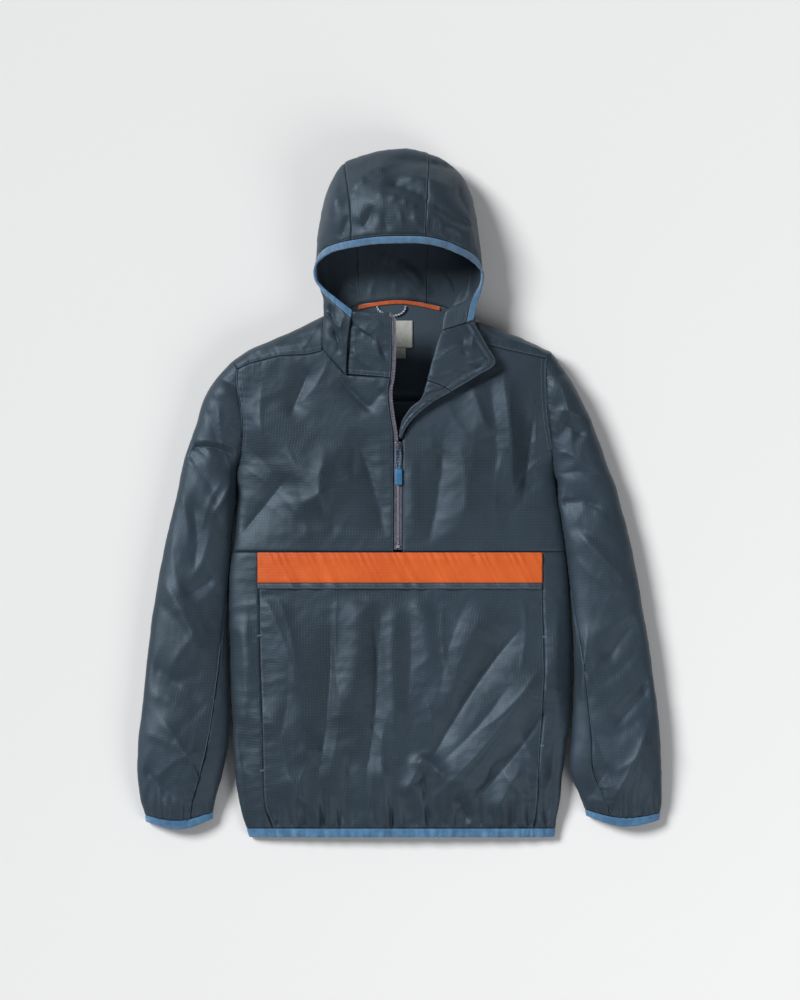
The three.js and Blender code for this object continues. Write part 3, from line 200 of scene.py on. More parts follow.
def crumple(x, y, cell, turn=0.0):
    """Small facets and soft ridges, about cell millimetres apart: -1 to 1, ridges drawn out along turn."""
    c, s = math.cos(turn), math.sin(turn)
    a, b = (c * x + s * y) / (1.9 * cell), (c * y - s * x) / cell
    a, b = a + 0.5 * noise(0.7 * a + 9, 0.7 * b), b + 0.5 * noise(0.7 * a, 0.7 * b + 5)
    ridge = 1 - 2.6 * np.abs(noise(a, b))
    fine = 1 - 2.6 * np.abs(noise(2.1 * a + 31, 2.1 * b + 17))
    return 0.6 * ridge + 0.3 * fine - 0.2


def creases(x, y, rows):
    """Height of soft ridges (high above 0) and troughs, each from one point to another.

    bow bends the line to its left; wide is the half width; sharp is 1 for a pinched crest, 0 for a round one.
    """
    total = np.zeros_like(x)
    for x1, y1, x2, y2, wide, high, bow, sharp in rows:
        dx, dy = x2 - x1, y2 - y1
        long = math.hypot(dx, dy)
        t = ((x - x1) * dx + (y - y1) * dy) / long**2
        inside = np.clip(t, 0, 1)
        off = ((y - y1) * dx - (x - x1) * dy) / long - 4 * bow * inside * (1 - inside)
        reach = smooth((t + 0.22) / 0.42) * smooth((1.22 - t) / 0.42)
        d = np.abs(off) / wide
        crest = lerp(np.exp(-d * d), 1 / (1 + 2.2 * d) ** 2, sharp)
        total += high * reach * crest * (d < 4)
    return total


def creases_on(points, rows):
    return creases(points[..., 0], points[..., 1], rows)


# The body's sections, as they are in the solids
BODY = table(
    "y left right crown edge_top edge_low arch",
    [
        (HEM_Y, -218, 224, 21, 9, 9, 0.8),
        (-486, -222, 226, 23, 10, 10, 0.8),
        (-469, -228, 228, 29, 12, 12, 0.75),
        (-440, -234, 233, 39, 15, 15, 0.7),
        (-400, -239, 237, 48, 18, 18, 0.65),
        (-330, -243, 246, 54, 20, 20, 0.6),
        (-230, -246, 249, 57, 20, 20, 0.6),
        (-120, -247, 243, 58, 20, 20, 0.6),
        (-60, -238, 237, 60, 20, 20, 0.6),
        (0, -236, 228, 61, 20, 20, 0.75),
        (UNDERARM_Y, -237, 224, 62, 22, 20, 0.95),
        (61, -230, 222, 62, 33, 8, 1.4),
        (100, -228, 217, 62, 43, 0, 1.8),
        (140, -233, 213, 62, 46, 0, 2),
        (165, -236, 212, 62, 46, 0, 2),
        (180, -235, 212, 62, 46, 0, 2),
        (196, -235, 213, 62, 46, 0, 2),
        (260, -235, 213, 62, 46, 0, 2),
    ],
)
left_x, right_x, crown_z, edge_top, edge_low, arch = (
    track(BODY, "y", c) for c in ("left", "right", "crown", "edge_top", "edge_low", "arch")
)

# Creases, in millimetres: from x1 y1 to x2 y2, half width, height, bow to the left, sharpness
LARGE_FOLDS = [
    (-133, 175, -156, 118, 14.9, -9.3, 0, 0.5),
    (-82, 160, -46, 122, 14.9, -9.3, 0, 0.6),
    (-46, 122, -24, 150, 13.8, -6.6, 0, 0.6),
    (-215, 110, -120, 0, 33.1, 8.4, 5, 0.2),
    (-165, 20, -225, -55, 23, -8, 0, 0.5),
    (-108, 60, -112, -30, 22.1, 5.9, -4, 0.2),
    (-58, 70, -24, -50, 20.7, -8, 3, 0.5),
    (-150, -24, -60, 26, 16.6, 4.8, 4, 0.3),
    (152, 160, 163, 10, 17.9, 9.5, 2, 0.3),
    (106, 150, 126, 90, 17.9, 4.8, 0, 0.2),
    (196, 120, 180, 5, 18.4, -8, 0, 0.4),
    (112, 110, 84, -60, 35.9, 7.2, 4, 0.2),
    (62, 70, 44, -60, 16.1, -6.6, 3, 0.5),
    (20, 30, 24, -60, 16.6, 4.2, 0, 0.2),
    (-57, -155, -84, -322, 26.4, 7.7, 8, 0),
    (-7, -172, -4, -346, 13.2, 5, -5, 0),
    (-36, -190, -46, -392, 12.6, -7, 7, 0.6),
    (28, -158, 40, -262, 16.8, 5.9, 4, 0),
    (118, -176, 74, -322, 33.6, 9.5, -9, 0.1),
    (166, -205, 56, -368, 17.2, -10.6, -5, 0.5),
    (198, -268, 52, -440, 34.4, 13.1, 8, 0.3),
    (214, -312, 116, -436, 18.4, -9.3, 4, 0.5),
    (8, -432, 31, -383, 12.4, 8.4, -3, 0.4),
    (31, -383, 60, -410, 12.4, 8.4, 3, 0.4),
    (35, -410, 41, -480, 9.2, -9.3, 0, 0.6),
    (84, -440, 100, -476, 12.6, -8, 0, 0.6),
    (-200, -316, -126, -386, 27.6, 7.2, 7, 0.2),
    (-196, -150, -148, -288, 22.1, 7.2, 5, 0.3),
    (-100, -210, -116, -390, 21.8, -8, 5, 0.5),
    (-160, -412, -130, -476, 15.1, 7.2, 4, 0.3),
    (-72, -385, -80, -470, 14.9, -6.6, 0, 0.5),
    (-24, -392, -28, -474, 16.6, 5.9, 3, 0.3),
    (142, -462, 172, -405, 16.6, 7.2, 0, 0.3),
    (176, -350, 206, -420, 19.3, 5.9, 0, 0.3),
    (-230, -190, -226, -330, 16.6, 5.9, 4, 0.2),
    (-232, -350, -214, -470, 13.8, -5.3, 0, 0.5),
    (230, -190, 228, -320, 16.6, 4.8, -4, 0.2),
    (226, -350, 216, -470, 13.8, -5.3, 0, 0.5),
]
SLEEVE_FOLDS = [
    (-306, 52, -290, 68, 16.5, -9.3, 3, 0.6),
    (-290, 68, -246, 56, 16.5, -9.3, 3, 0.6),
    (-238, 24, -268, -30, 18.2, 9.3, 0, 0.7),
    (-300, -10, -297, -105, 21.5, -7.7, 4, 0.5),
    (-342, -130, -288, -238, 23.1, 7.7, 5, 0.6),
    (-272, -124, -308, -148, 16.5, -7.7, 0, 0.5),
    (-360, -250, -290, -300, 21.5, -6.2, 0, 0.5),
    (-345, -330, -290, -420, 21.5, 7.7, 4, 0.6),
    (-372, -400, -330, -440, 19.8, -6.2, 0, 0.5),
    (236, 100, 266, 84, 18.2, -7.7, 0, 0.5),
    (232, -15, 290, -20, 18.2, -9.3, 5, 0.6),
    (262, -60, 318, -120, 23.1, 7.7, 0, 0.6),
    (338, -188, 300, -240, 19.8, -7.7, 0, 0.5),
    (364, -275, 318, -332, 21.5, -9.3, 0, 0.6),
    (358, -345, 308, -445, 23.1, 9.3, 5, 0.6),
    (272, -200, 262, -290, 19.8, 6.2, 0, 0.5),
    (300, -400, 276, -440, 18.2, -6.2, 0, 0.5),
]
CHEST_CREASES = [
    (-104, 190, -150, 128, 9.5, 2.4, 6, 0.8),
    (-70, 176, -44, 132, 8.1, 2.2, -4, 0.8),
    (-44, 130, -22, 156, 6.8, 2, 3, 0.8),
    (-66, 80, -70, 20, 8.1, -1.8, 2, 0.5),
    (-112, 40, -112, -26, 12.2, 2.2, -6, 0.7),
    (-100, 10, -96, -60, 9.5, -1.7, 0, 0.5),
    (-30, 60, -34, -20, 9.5, 1.5, 3, 0.6),
    (-160, 60, -134, -70, 10.8, 1.8, 5, 0.7),
    (-200, 150, -196, 60, 10.8, 2.2, -4, 0.7),
    (-212, 60, -170, 0, 10.8, -2.2, 4, 0.5),
    (-214, 30, -150, -30, 8.1, 2, 6, 0.8),
    (-206, -8, -150, -58, 9.5, 1.5, 5, 0.7),
    (108, 142, 123, 100, 8.1, 2.5, 2, 0.8),
    (132, 150, 140, 40, 9.5, -2.2, 2, 0.5),
    (160, 150, 164, 70, 6.8, 2.2, -2, 0.9),
    (150, 60, 140, -40, 10.8, 2, -5, 0.7),
    (192, 140, 196, 60, 10.8, 2.2, 3, 0.7),
    (206, 50, 160, -10, 9.5, 2.2, -5, 0.8),
    (200, 16, 150, -46, 9.5, -2, -4, 0.5),
    (90, 60, 96, -30, 12.2, 1.7, 3, 0.6),
    (46, 90, 60, 20, 9.5, 1.7, -3, 0.7),
    (30, 60, 28, -50, 12.2, -1.4, 2, 0.5),
    (16, 40, 20, -60, 8.1, 1.2, -2, 0.6),
    (70, 130, 100, 80, 9.5, 1.7, -4, 0.7),
]
LOWER_CREASES = [
    (-176, -150, -150, -260, 10.8, 2, 5, 0.7),
    (-160, -250, -176, -360, 12.2, -2, 4, 0.5),
    (-92, -160, -86, -300, 8.1, 2.2, -4, 0.8),
    (-30, -170, -32, -300, 8.1, -1.9, 3, 0.5),
    (16, -180, 10, -300, 8.1, -1.7, 3, 0.5),
    (62, -170, 70, -260, 9.5, 2, -4, 0.7),
    (96, -160, 60, -280, 10.8, -1.9, -5, 0.5),
    (180, -160, 176, -250, 10.8, 1.9, 4, 0.7),
    (196, -262, 120, -340, 9.5, 2.4, 7, 0.8),
    (160, -330, 70, -440, 8.1, -2.8, 6, 0.5),
    (150, -290, 60, -390, 8.1, -2.3, 5, 0.5),
    (42, -430, 44, -486, 6.8, -3.1, 0, 0.5),
    (20, -420, 36, -396, 6.8, 2.3, -6, 0.9),
    (-40, -390, -46, -470, 8.1, 2.3, 3, 0.8),
    (-72, -380, -66, -470, 8.1, -2.3, -3, 0.5),
    (-120, -380, -146, -440, 9.5, 2.6, -8, 0.8),
    (-150, -436, -152, -480, 6.8, 2.3, 0, 0.8),
    (-184, -330, -160, -420, 9.5, 2, 5, 0.7),
    (-20, -320, -26, -420, 9.5, 2, -3, 0.7),
    (-90, -300, -100, -400, 10.8, 1.7, 4, 0.6),
    (108, -430, 130, -396, 8.1, 2.4, -5, 0.8),
    (96, -410, 84, -460, 8.1, 2.3, 3, 0.8),
    (150, -400, 186, -440, 9.5, 2.3, -5, 0.7),
    (180, -380, 190, -470, 8.1, -2.2, 3, 0.5),
    (-222, -150, -216, -260, 9.5, 1.9, -3, 0.7),
    (-228, -280, -216, -380, 9.5, -1.9, 4, 0.5),
    (-226, -400, -204, -460, 8.1, 2, 5, 0.7),
    (228, -150, 222, -250, 9.5, 1.9, 3, 0.7),
    (236, -290, 220, -380, 9.5, 2, -4, 0.7),
    (224, -400, 206, -466, 8.1, -1.9, -3, 0.5),
    (-60, -330, 10, -400, 9.5, 1.5, 6, 0.6),
    (40, -300, 50, -360, 9.5, 1.9, 3, 0.7),
]
FLAP_TAUT = {"low": -145, "high": -82, "fade": 20}  # the front has no folds under the flap
HEM_ROOT = {"share": 0.35, "high": 7}  # gathers start lower where the binding holds them
OPEN_EDGE_LIFT = {"high": 8, "from_y": 70, "run": 110, "x": -10, "wide": 45}

# Gathers at the hem and the cuffs, coarse to fine: how far apart, slant, seed, how far up, how high
HEM_GATHERS = [(33, 0, 1.0, 74, 3.6), (17, 0.012, 2.3, 42, 2.9), (9.5, 0, 4.1, 17, 1.5)]
CUFF_GATHERS = [(13, 0, 1.9, 40, 1.7), (8, 0, 0.4, 16, 0.8)]
CUFF_SEAM_Y = -462


def gathers(x, up, rows):
    """Gathers run up from a binding, fine at the binding and wider as they fade."""
    return sum(
        uneven(2 * math.pi * x / pitch + slant * up, seed) * smooth(1 - up / reach) * high
        for pitch, slant, seed, reach, high in rows
    )


def fullness(x, y):
    """1 over the middle of the body, 0 at its sides."""
    left, right = left_x(y), right_x(y)
    u = (2 * x - left - right) / (right - left)
    return np.sqrt(np.clip(1 - u * u, 0, 1))


def plain_front(x, y):
    full = fullness(x, y)
    low = edge_top(y)
    edge = OPEN_EDGE_LIFT
    near = np.exp(-(((x - edge["x"]) / edge["wide"]) ** 2))
    lift = np.where(x > 0, 0, edge["high"] * smooth((y - edge["from_y"]) / edge["run"]) * near)
    return low + (crown_z(y) - low) * full ** arch(y) + lift, full


def front_z(x, y):
    base, full = plain_front(x, y)
    clear = np.maximum(FLAP_TAUT["low"] - y, y - FLAP_TAUT["high"])
    taut = smooth(clear / FLAP_TAUT["fade"])
    calm = smooth(full / 0.45)
    up = y - HEM_SEAM_Y
    root = lerp(HEM_ROOT["share"], 1, smooth(up / HEM_ROOT["high"]))
    folds = creases(x, y, LARGE_FOLDS) + gathers(x, up, HEM_GATHERS) * root
    fine = creases(x, y, CHEST_CREASES) + creases(x, y, LOWER_CREASES)
    return base + taut * (calm * folds + smooth(full / 0.3) * fine)


def height_at(x, y):
    return float(front_z(np.array(float(x)), np.array(float(y))))


def plain_at(x, y):
    return float(plain_front(np.array(float(x)), np.array(float(y)))[0])


def back_z(x, y):
    return np.clip(edge_low(y), 0, edge_top(y)) * np.clip(1 - fullness(x, y) / 0.3, 0, 1) ** 1.5


# Cloth: a grid of rows and columns, laid by a function, then given its seams, wrinkles and thickness
class Cloth:
    """Points of one sheet in millimetres, rows from south to north, and how far each lies from each rim."""

    def __init__(self, points, ring=False):  # a ring's first and last column are the same
        self.points = points
        self.ring = ring
        self.measure()

    def measure(self):
        p = self.points
        across = np.linalg.norm(np.diff(p, axis=1), axis=2)
        up = np.linalg.norm(np.diff(p, axis=0), axis=2)
        self.west = np.concatenate([np.zeros((p.shape[0], 1)), np.cumsum(across, axis=1)], axis=1)
        self.south = np.concatenate([np.zeros((1, p.shape[1])), np.cumsum(up, axis=0)], axis=0)
        self.east = self.west[:, -1:] - self.west
        self.north = self.south[-1:, :] - self.south
        du = np.gradient(p, axis=1)
        if self.ring:
            du[:, 0] = du[:, -1] = p[:, 1] - p[:, -2]
        dv = np.gradient(p, axis=0)
        self.normal = unit(np.cross(du, dv), axis=2)

    def raise_by(self, height):
        self.points = self.points + self.normal * height[..., None]
        self.measure()

    def rim(self, name, inset):
        """Points of the line that lies inset millimetres inside a rim."""
        far = getattr(self, name)
        p = self.points
        if name in ("west", "east"):
            rows = [(far[i], p[i]) for i in range(p.shape[0])]
        else:
            rows = [(far[:, j], p[:, j]) for j in range(p.shape[1])]
        line = []
        for distance, points in rows:
            order = np.argsort(distance)
            line.append([np.interp(inset, distance[order], points[order, k]) for k in range(3)])
        return np.array(line)


def bring_in(cloth, rims):
    """Draws each named rim back by half the seam's gap."""
    for rim in rims:
        p = cloth.points if rim in "sn" else cloth.points.swapaxes(0, 1)
        a, b = (0, 1) if rim in "sw" else (-1, -2)
        p[a] += unit(p[b] - p[a]) * SEAM_GAP / 2


RIMS = {"n": "north", "e": "east", "s": "south", "w": "west"}
SEAM_DIP = {"deep": 0.7, "wide": 2.0}
# Puckers at a seam: how far in, where they start, how far apart, slant, share of the height, turns of seed
PUCKERS = [(9, 2.5, 11, 0.02, 1, 1), (20, 4, 23, 0.03, 0.6, 2)]


def dress(cloth, pucker, seed, seams="nesw", wrinkle=1.5, cell=46, turn=0.0, pucker_high=0.6):
    """Wrinkles over the sheet, puckers that run in from its seams, and rims that dip into them."""
    p = cloth.points
    height = wrinkle * crumple(p[..., 0] + 3 * seed, p[..., 1] + 17 * seed, cell, turn)
    height = height + 0.35 * wrinkle * crumple(p[..., 0] + 40, p[..., 1] + 9 * seed, cell / 2.4, turn + 0.9)
    for rim in pucker:
        off = getattr(cloth, RIMS[rim])
        run = cloth.west if rim in "ns" else cloth.south
        for reach, start, apart, slant, share, turns in PUCKERS:
            near = np.exp(-off / reach) * smooth(off / start)
            waves = uneven(2 * math.pi * run / apart + slant * off, seed + turns * ord(rim))
            height += share * pucker_high * near * waves
    for rim in seams:
        height -= SEAM_DIP["deep"] * np.exp(-((getattr(cloth, RIMS[rim]) / SEAM_DIP["wide"]) ** 2))
    cloth.raise_by(height)
    cloth.points[..., 2] = np.maximum(cloth.points[..., 2], LEAST_Z)
    bring_in(cloth, seams)
    return cloth


def piece_name(words):
    return words.replace(" ", "-")


def make_object(name, bm, materials, smooth_faces=True):
    name = piece_name(name)
    mesh = bpy.data.meshes.new(name)
    for face in bm.faces:
        face.smooth = smooth_faces
    bm.to_mesh(mesh)
    bm.free()
    made = bpy.data.objects.new(name, mesh)
    bpy.context.collection.objects.link(made)
    for material in materials:
        mesh.materials.append(material)
    return made


def mark(made, slot, *nodes, body="garment"):
    """Hides the frame's parts that a piece stands for and ties it to the body it moves with; slot, what it is
    made of, is not used.
    """
    if nodes:
        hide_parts(*nodes)
    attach(made, body)


def grid_mesh(columns, rows, point, cut_place_of=None):
    """A grid with each vertex on its point in millimetres, and its place on the flat cloth in metres."""
    bm = bmesh.new()
    cut = bm.loops.layers.uv.new("cut") if cut_place_of else None
    bmesh.ops.create_grid(bm, x_segments=columns, y_segments=rows, size=0.5)
    place = {v: (round((v.co.x + 0.5) * columns), round((v.co.y + 0.5) * rows)) for v in bm.verts}
    for vertex, (j, i) in place.items():
        vertex.co = Vector(point(j, i)) * MM
    if cut:
        for loop in (loop for face in bm.faces for loop in face.loops):
            loop[cut].uv = cut_place_of(*place[loop.vert])
    return bm


def join_seam(bm):
    bmesh.ops.remove_doubles(bm, verts=bm.verts, dist=1e-6)


def close_up(bm):
    """Joins the seam, fills the ends and turns the faces outwards."""
    join_seam(bm)
    bmesh.ops.holes_fill(bm, edges=[e for e in bm.edges if e.is_boundary])
    bmesh.ops.recalc_face_normals(bm, faces=bm.faces)


def soften(bm, edges, width, segments):
    bmesh.ops.bevel(
        bm,
        geom=edges,
        offset=width * MM,
        offset_type="OFFSET",
        segments=segments,
        profile=0.5,
        affect="EDGES",
        material=-1,
        clamp_overlap=True,
    )


def sharp_edges(bm, angle):
    return [e for e in bm.edges if e.calc_face_angle(0) > angle]


def sew(name, cloth, face, lining=None, wall=WALL):
    """Makes a sheet of cloth: a grid, its vertices on the sheet's points, then a wall inwards."""
    p, west, south = cloth.points, cloth.west * MM, cloth.south * MM
    rows, columns = p.shape[:2]
    bm = grid_mesh(columns - 1, rows - 1, lambda j, i: p[i, j], lambda j, i: (west[i, j], south[i, j]))
    if cloth.ring:
        join_seam(bm)
    made = make_object(name, bm, [face, lining or face])
    thick = made.modifiers.new("wall", "SOLIDIFY")
    thick.thickness = wall * MM
    thick.offset = -1
    thick.material_offset = 1
    thick.material_offset_rim = 0
    return made


# Materials
def node(tree, kind, inputs=None, **settings):
    made = tree.nodes.new(kind)
    for key, value in settings.items():
        setattr(made, key, value)
    for key, value in (inputs or {}).items():
        if isinstance(value, bpy.types.NodeSocket):
            tree.links.new(value, made.inputs[key])
        else:
            made.inputs[key].default_value = value
    return made


def math_node(tree, operation, a, b=0.0):
    return node(tree, "ShaderNodeMath", {0: a, 1: b}, operation=operation).outputs[0]


def rgb(r, g, b):
    """A colour of the render from its 0 to 255 values."""
    parts = [c / 255 for c in (r, g, b)]
    linear = [c / 12.92 if c <= 0.04045 else ((c + 0.055) / 1.055) ** 2.4 for c in parts]
    return (*linear, 1)


def finish_of(name, **sockets):
    made = bpy.data.materials.new(name)
    made.use_nodes = True
    shader = made.node_tree.nodes["Principled BSDF"]
    for key, value in sockets.items():
        shader.inputs[key.replace("_", " ")].default_value = value
    return made, made.node_tree, shader


def cut_place(tree):
    """The place on the flat cloth, in metres."""
    return node(tree, "ShaderNodeSeparateXYZ", {0: node(tree, "ShaderNodeUVMap", uv_map="cut").outputs[0]})


def object_place(tree):
    return node(tree, "ShaderNodeTexCoord").outputs["Object"]


def threads(tree, value, pitch, share):
    """Raised threads along one direction of the cloth: 1 on a thread, 0 between."""
    step = math_node(tree, "PINGPONG", math_node(tree, "DIVIDE", value, pitch), 0.5)
    return node(
        tree,
        "ShaderNodeMapRange",
        {"Value": step, "From Min": 0.0, "From Max": share, "To Min": 1.0, "To Max": 0.0},
        interpolation_type="SMOOTHSTEP",
    ).outputs[0]


def mottled(tree, dark, light, scale, detail=3.0, low=0.36, high=0.64):
    """Soft change of colour over the cloth."""
    ramp = node(tree, "ShaderNodeValToRGB", {"Fac": noise_of(tree, scale, detail)})
    for end, place, colour in zip(ramp.color_ramp.elements, (low, high), (dark, light)):
        end.position = place
        end.color = colour
    return ramp.outputs["Color"]


def bumped(tree, shader, heights):
    """Adds up bumps of (height, strength, distance in metres) on the shader's normal."""
    normal = None
    for height, strength, distance in heights:
        inputs = {"Height": height, "Strength": strength, "Distance": distance}
        if normal is not None:
            inputs["Normal"] = normal
        normal = node(tree, "ShaderNodeBump", inputs).outputs[0]
    tree.links.new(normal, shader.inputs["Normal"])


def noise_of(tree, scale, detail, **more):
    inputs = {"Vector": object_place(tree), "Scale": scale, "Detail": detail, **more}
    return node(tree, "ShaderNodeTexNoise", inputs).outputs["Fac"]


def both_ways(tree, pitch, share):
    """Threads along and across the cloth."""
    cut = cut_place(tree)
    return math_node(tree, "MAXIMUM", *(threads(tree, cut.outputs[k], pitch, share) for k in (0, 1)))


RIPSTOP = {"check": 0.0042, "line": 0.09, "weave": 0.0007}
COOL_SHINE = {"Sheen_Tint": (0.6, 0.7, 0.8, 1), "Specular_Tint": (0.66, 0.84, 1, 1)}
WARM_SHINE = {"Sheen_Tint": (1, 0.6, 0.4, 1), "Specular_Tint": (1, 0.75, 0.55, 1)}


def ripstop(name, dark, light, thread, sheen=0.1, shine=COOL_SHINE):
    """Thin nylon: a square check of thicker threads, a fine weave and small crinkles under a satin sheen."""
    made, tree, shader = finish_of(name, Roughness=0.5, Sheen_Weight=sheen, Sheen_Roughness=0.42, **shine)
    lines = both_ways(tree, RIPSTOP["check"], RIPSTOP["line"])
    colours = {
        "Factor": math_node(tree, "MULTIPLY", lines, 0.45),
        "A": mottled(tree, dark, light, 7.0),
        "B": thread,
    }
    mixed = node(tree, "ShaderNodeMix", colours, data_type="RGBA")
    tree.links.new(mixed.outputs["Result"], shader.inputs["Base Color"])
    heights = [
        (noise_of(tree, 75.0, 4.0, Distortion=0.7), 0.3, 0.0007),
        (noise_of(tree, 420.0, 2.0), 0.25, 0.0004),
        (lines, 0.35, 0.0002),
        (both_ways(tree, RIPSTOP["weave"], 0.5), 0.15, 0.0001),
    ]
    bumped(tree, shader, heights)
    return made


def knitted(name, dark, light):
    """Stretch binding: fine ribs across its width, matt and a little fuzzy."""
    made, tree, shader = finish_of(name, Roughness=0.82, Sheen_Weight=0.5, Sheen_Roughness=0.55)
    cut = cut_place(tree)
    ribs = threads(tree, cut.outputs[0], 0.0011, 0.5)
    loops = threads(tree, cut.outputs[1], 0.0008, 0.5)
    tree.links.new(mottled(tree, dark, light, 60.0), shader.inputs["Base Color"])
    fuzz = noise_of(tree, 900.0, 2.0)
    bumped(tree, shader, [(ribs, 0.7, 0.0005), (loops, 0.35, 0.0003), (fuzz, 0.3, 0.0003)])
    return made


def woven(name, dark, light, pitch=0.0009):
    """Plain woven tape or label, threads both ways."""
    made, tree, shader = finish_of(name, Roughness=0.8, Sheen_Weight=0.2)
    cut = cut_place(tree)
    across = threads(tree, cut.outputs[0], pitch, 0.5)
    down = threads(tree, cut.outputs[1], pitch * 0.8, 0.5)
    tree.links.new(mottled(tree, dark, light, 180.0), shader.inputs["Base Color"])
    bumped(tree, shader, [(across, 0.5, 0.0003), (down, 0.5, 0.0003)])
    return made


def moulded(name, dark, light, roughness, metallic=0.0, scale=300.0):
    """Moulded plastic or plated metal, with faint wear in its colour and skin."""
    made, tree, shader = finish_of(name, Roughness=roughness, Metallic=metallic)
    tree.links.new(mottled(tree, dark, light, scale), shader.inputs["Base Color"])
    bumped(tree, shader, [(noise_of(tree, 1500.0, 3.0), 0.2, 0.0002)])
    return made


def twisted(name, first, second, third):
    """Cord of three colours, its strands slanting round it."""
    made, tree, shader = finish_of(name, Roughness=0.85, Sheen_Weight=0.3)
    cut = cut_place(tree)
    slant = math_node(tree, "ADD", math_node(tree, "DIVIDE", cut.outputs[1], 0.0042), cut.outputs[0])
    turn = math_node(tree, "FRACT", slant)
    ramp = node(tree, "ShaderNodeValToRGB", {"Fac": turn})
    ramp.color_ramp.interpolation = "CONSTANT"
    ramp.color_ramp.elements[0].color = first
    ramp.color_ramp.elements[1].position = 0.38
    ramp.color_ramp.elements[1].color = second
    ramp.color_ramp.elements.new(0.7).color = third
    tree.links.new(ramp.outputs["Color"], shader.inputs["Base Color"])
    strand = math_node(tree, "PINGPONG", math_node(tree, "MULTIPLY", slant, 3.0), 0.5)
    bumped(tree, shader, [(strand, 0.9, 0.0008)])
    return made


shell = ripstop("slate nylon", rgb(32, 42, 50), rgb(40, 51, 61), rgb(60, 75, 88))
lining = ripstop("dark lining", rgb(46, 57, 66), rgb(56, 68, 78), rgb(68, 82, 94))
orange = ripstop("orange nylon", rgb(190, 78, 30), rgb(206, 90, 36), rgb(216, 106, 50), shine=WARM_SHINE)
grey_band = ripstop("grey strip nylon", rgb(44, 53, 63), rgb(54, 64, 75), rgb(64, 75, 87), sheen=0.2)
binding_blue = knitted("blue stretch binding", rgb(46, 100, 142), rgb(66, 124, 166))
tape_grey = woven("zip tape", rgb(72, 72, 84), rgb(88, 88, 100))
tape_orange = woven("neck tape orange", rgb(186, 82, 38), rgb(206, 98, 46), pitch=0.0007)
label_white = woven("label weave", rgb(176, 180, 174), rgb(196, 198, 190), pitch=0.0006)
teeth_plastic = moulded("zip teeth", rgb(122, 120, 132), rgb(150, 148, 160), 0.35)
slider_metal = moulded("slider plating", rgb(96, 98, 108), rgb(132, 134, 144), 0.3, metallic=0.85)
grip_blue = moulded("grip rubber", rgb(44, 98, 138), rgb(58, 116, 158), 0.45)
cord_mixed = twisted("cord strands", rgb(205, 214, 220), rgb(120, 160, 184), rgb(40, 48, 60))
cord_blue = twisted("pull cord strands", rgb(56, 108, 148), rgb(112, 158, 190), rgb(30, 44, 60))
thread_slate = moulded("seam thread", rgb(84, 98, 112), rgb(104, 120, 134), 0.6, scale=500.0)
thread_orange = moulded("orange thread", rgb(196, 92, 50), rgb(216, 112, 66), 0.6, scale=500.0)


# Grids laid between two edges of a panel
def counts(wide, tall):
    return max(3, round(wide / CLOTH_PITCH)), max(3, round(tall / CLOTH_PITCH))


def grid_shares(columns, rows):
    return np.meshgrid(np.linspace(0, 1, columns + 1), np.linspace(0, 1, rows + 1))


def on_front(x, y):
    return Cloth(xyz(x, y, front_z(x, y)))


def lower_front(west_x, east_x, crowd=None):
    """A sheet of the lower front between two side lines, each a function of y."""
    middle = (HEM_SEAM_Y + FLAP_SEAM_Y) / 2
    wide = abs(float(east_x(middle) - west_x(middle)))
    u, v = grid_shares(*counts(wide, FLAP_SEAM_Y - HEM_SEAM_Y))
    u = crowd(u) if crowd else u
    y = lerp(HEM_SEAM_Y, FLAP_SEAM_Y, v)
    return on_front(lerp(west_x(y), east_x(y), u), y)


def ring_inward(ring):
    """The way into the cloth at each point of a closed section, square to the body's length."""
    loop, axis = ring[:-1], np.array([0, 1.0, 0])
    way = unit(np.cross(np.roll(loop, -1, axis=0) - np.roll(loop, 1, axis=0), axis))
    way *= 1 if ((loop.mean(axis=0) - loop) * way).sum() > 0 else -1
    return np.vstack([way, way[:1]])


BINDING = {"wave": 8.5, "ripple": 17, "fade": 12, "wall": 0.5, "thick": 3.2, "hood_thick": 2.6}


def binding(name, seam, rim, inward, node_name, closed, rests_on, thick):
    """A strip folded over a free edge, from its outer seam round the edge to its inner seam, and gathered."""
    run = run_of(rim)
    wave = uneven(2 * math.pi * run / BINDING["wave"], 0.7)
    ripple = uneven(2 * math.pi * run / BINDING["ripple"], 2.9)
    if closed:
        fade = smooth(np.minimum(run, run[-1] - run) / BINDING["fade"])
        wave, ripple = wave * fade, ripple * fade
    profile = [(t, -hump(min(t + 0.08, 0.62))) for t in np.linspace(0, 1, 6)]
    profile += [(1.05, lerp(-1, thick, 0.42)), (1.03, lerp(-1, thick, 0.75))]
    profile += [(t, thick - 0.55 - 0.45 * hump(t)) for t in np.linspace(0.94, 0, 5)]
    edge = unit(rim - seam)
    lines = []
    for t, depth in profile:
        swell = (0.42 * wave + 0.35 * ripple) * hump(min(1, 0.2 + 0.7 * t)) * (1 if depth < 1 else 0.4)
        line = seam + (rim - seam) * t + inward * (depth - swell)[:, None]
        lines.append(line + edge * (0.5 * ripple * max(0, t - 0.5))[:, None])
    points = np.array(lines)[::-1]
    points[..., 2] = np.maximum(points[..., 2], LEAST_Z)
    cloth = Cloth(points, ring=closed)
    made = sew(name, cloth, binding_blue, wall=BINDING["wall"])
    mark(made, "blue_binding", node_name)


sewn = {}


def panel(name, cloth, node_name, face=None, slot="shell_cloth"):
    """Sews a piece of cloth: the shell with its lining, or one cloth on both faces."""
    sewn[name] = cloth
    made = sew(name, cloth, face or shell, face or lining)
    mark(made, slot, node_name)


# Pocket panel and side panels
POCKET = table(
    "y left right",
    [
        (-487, -184, 195),
        (-474, -188, 198),
        (-461, -194, 199),
        (-439, -197, 201),
        (-404, -198, 202),
        (-308, -200, 208),
        (-253, -202, 210),
        (-142, -204, 207),
        (-85, -204, 206),
    ],
)
pocket_left, pocket_right = track(POCKET, "y", "left"), track(POCKET, "y", "right")

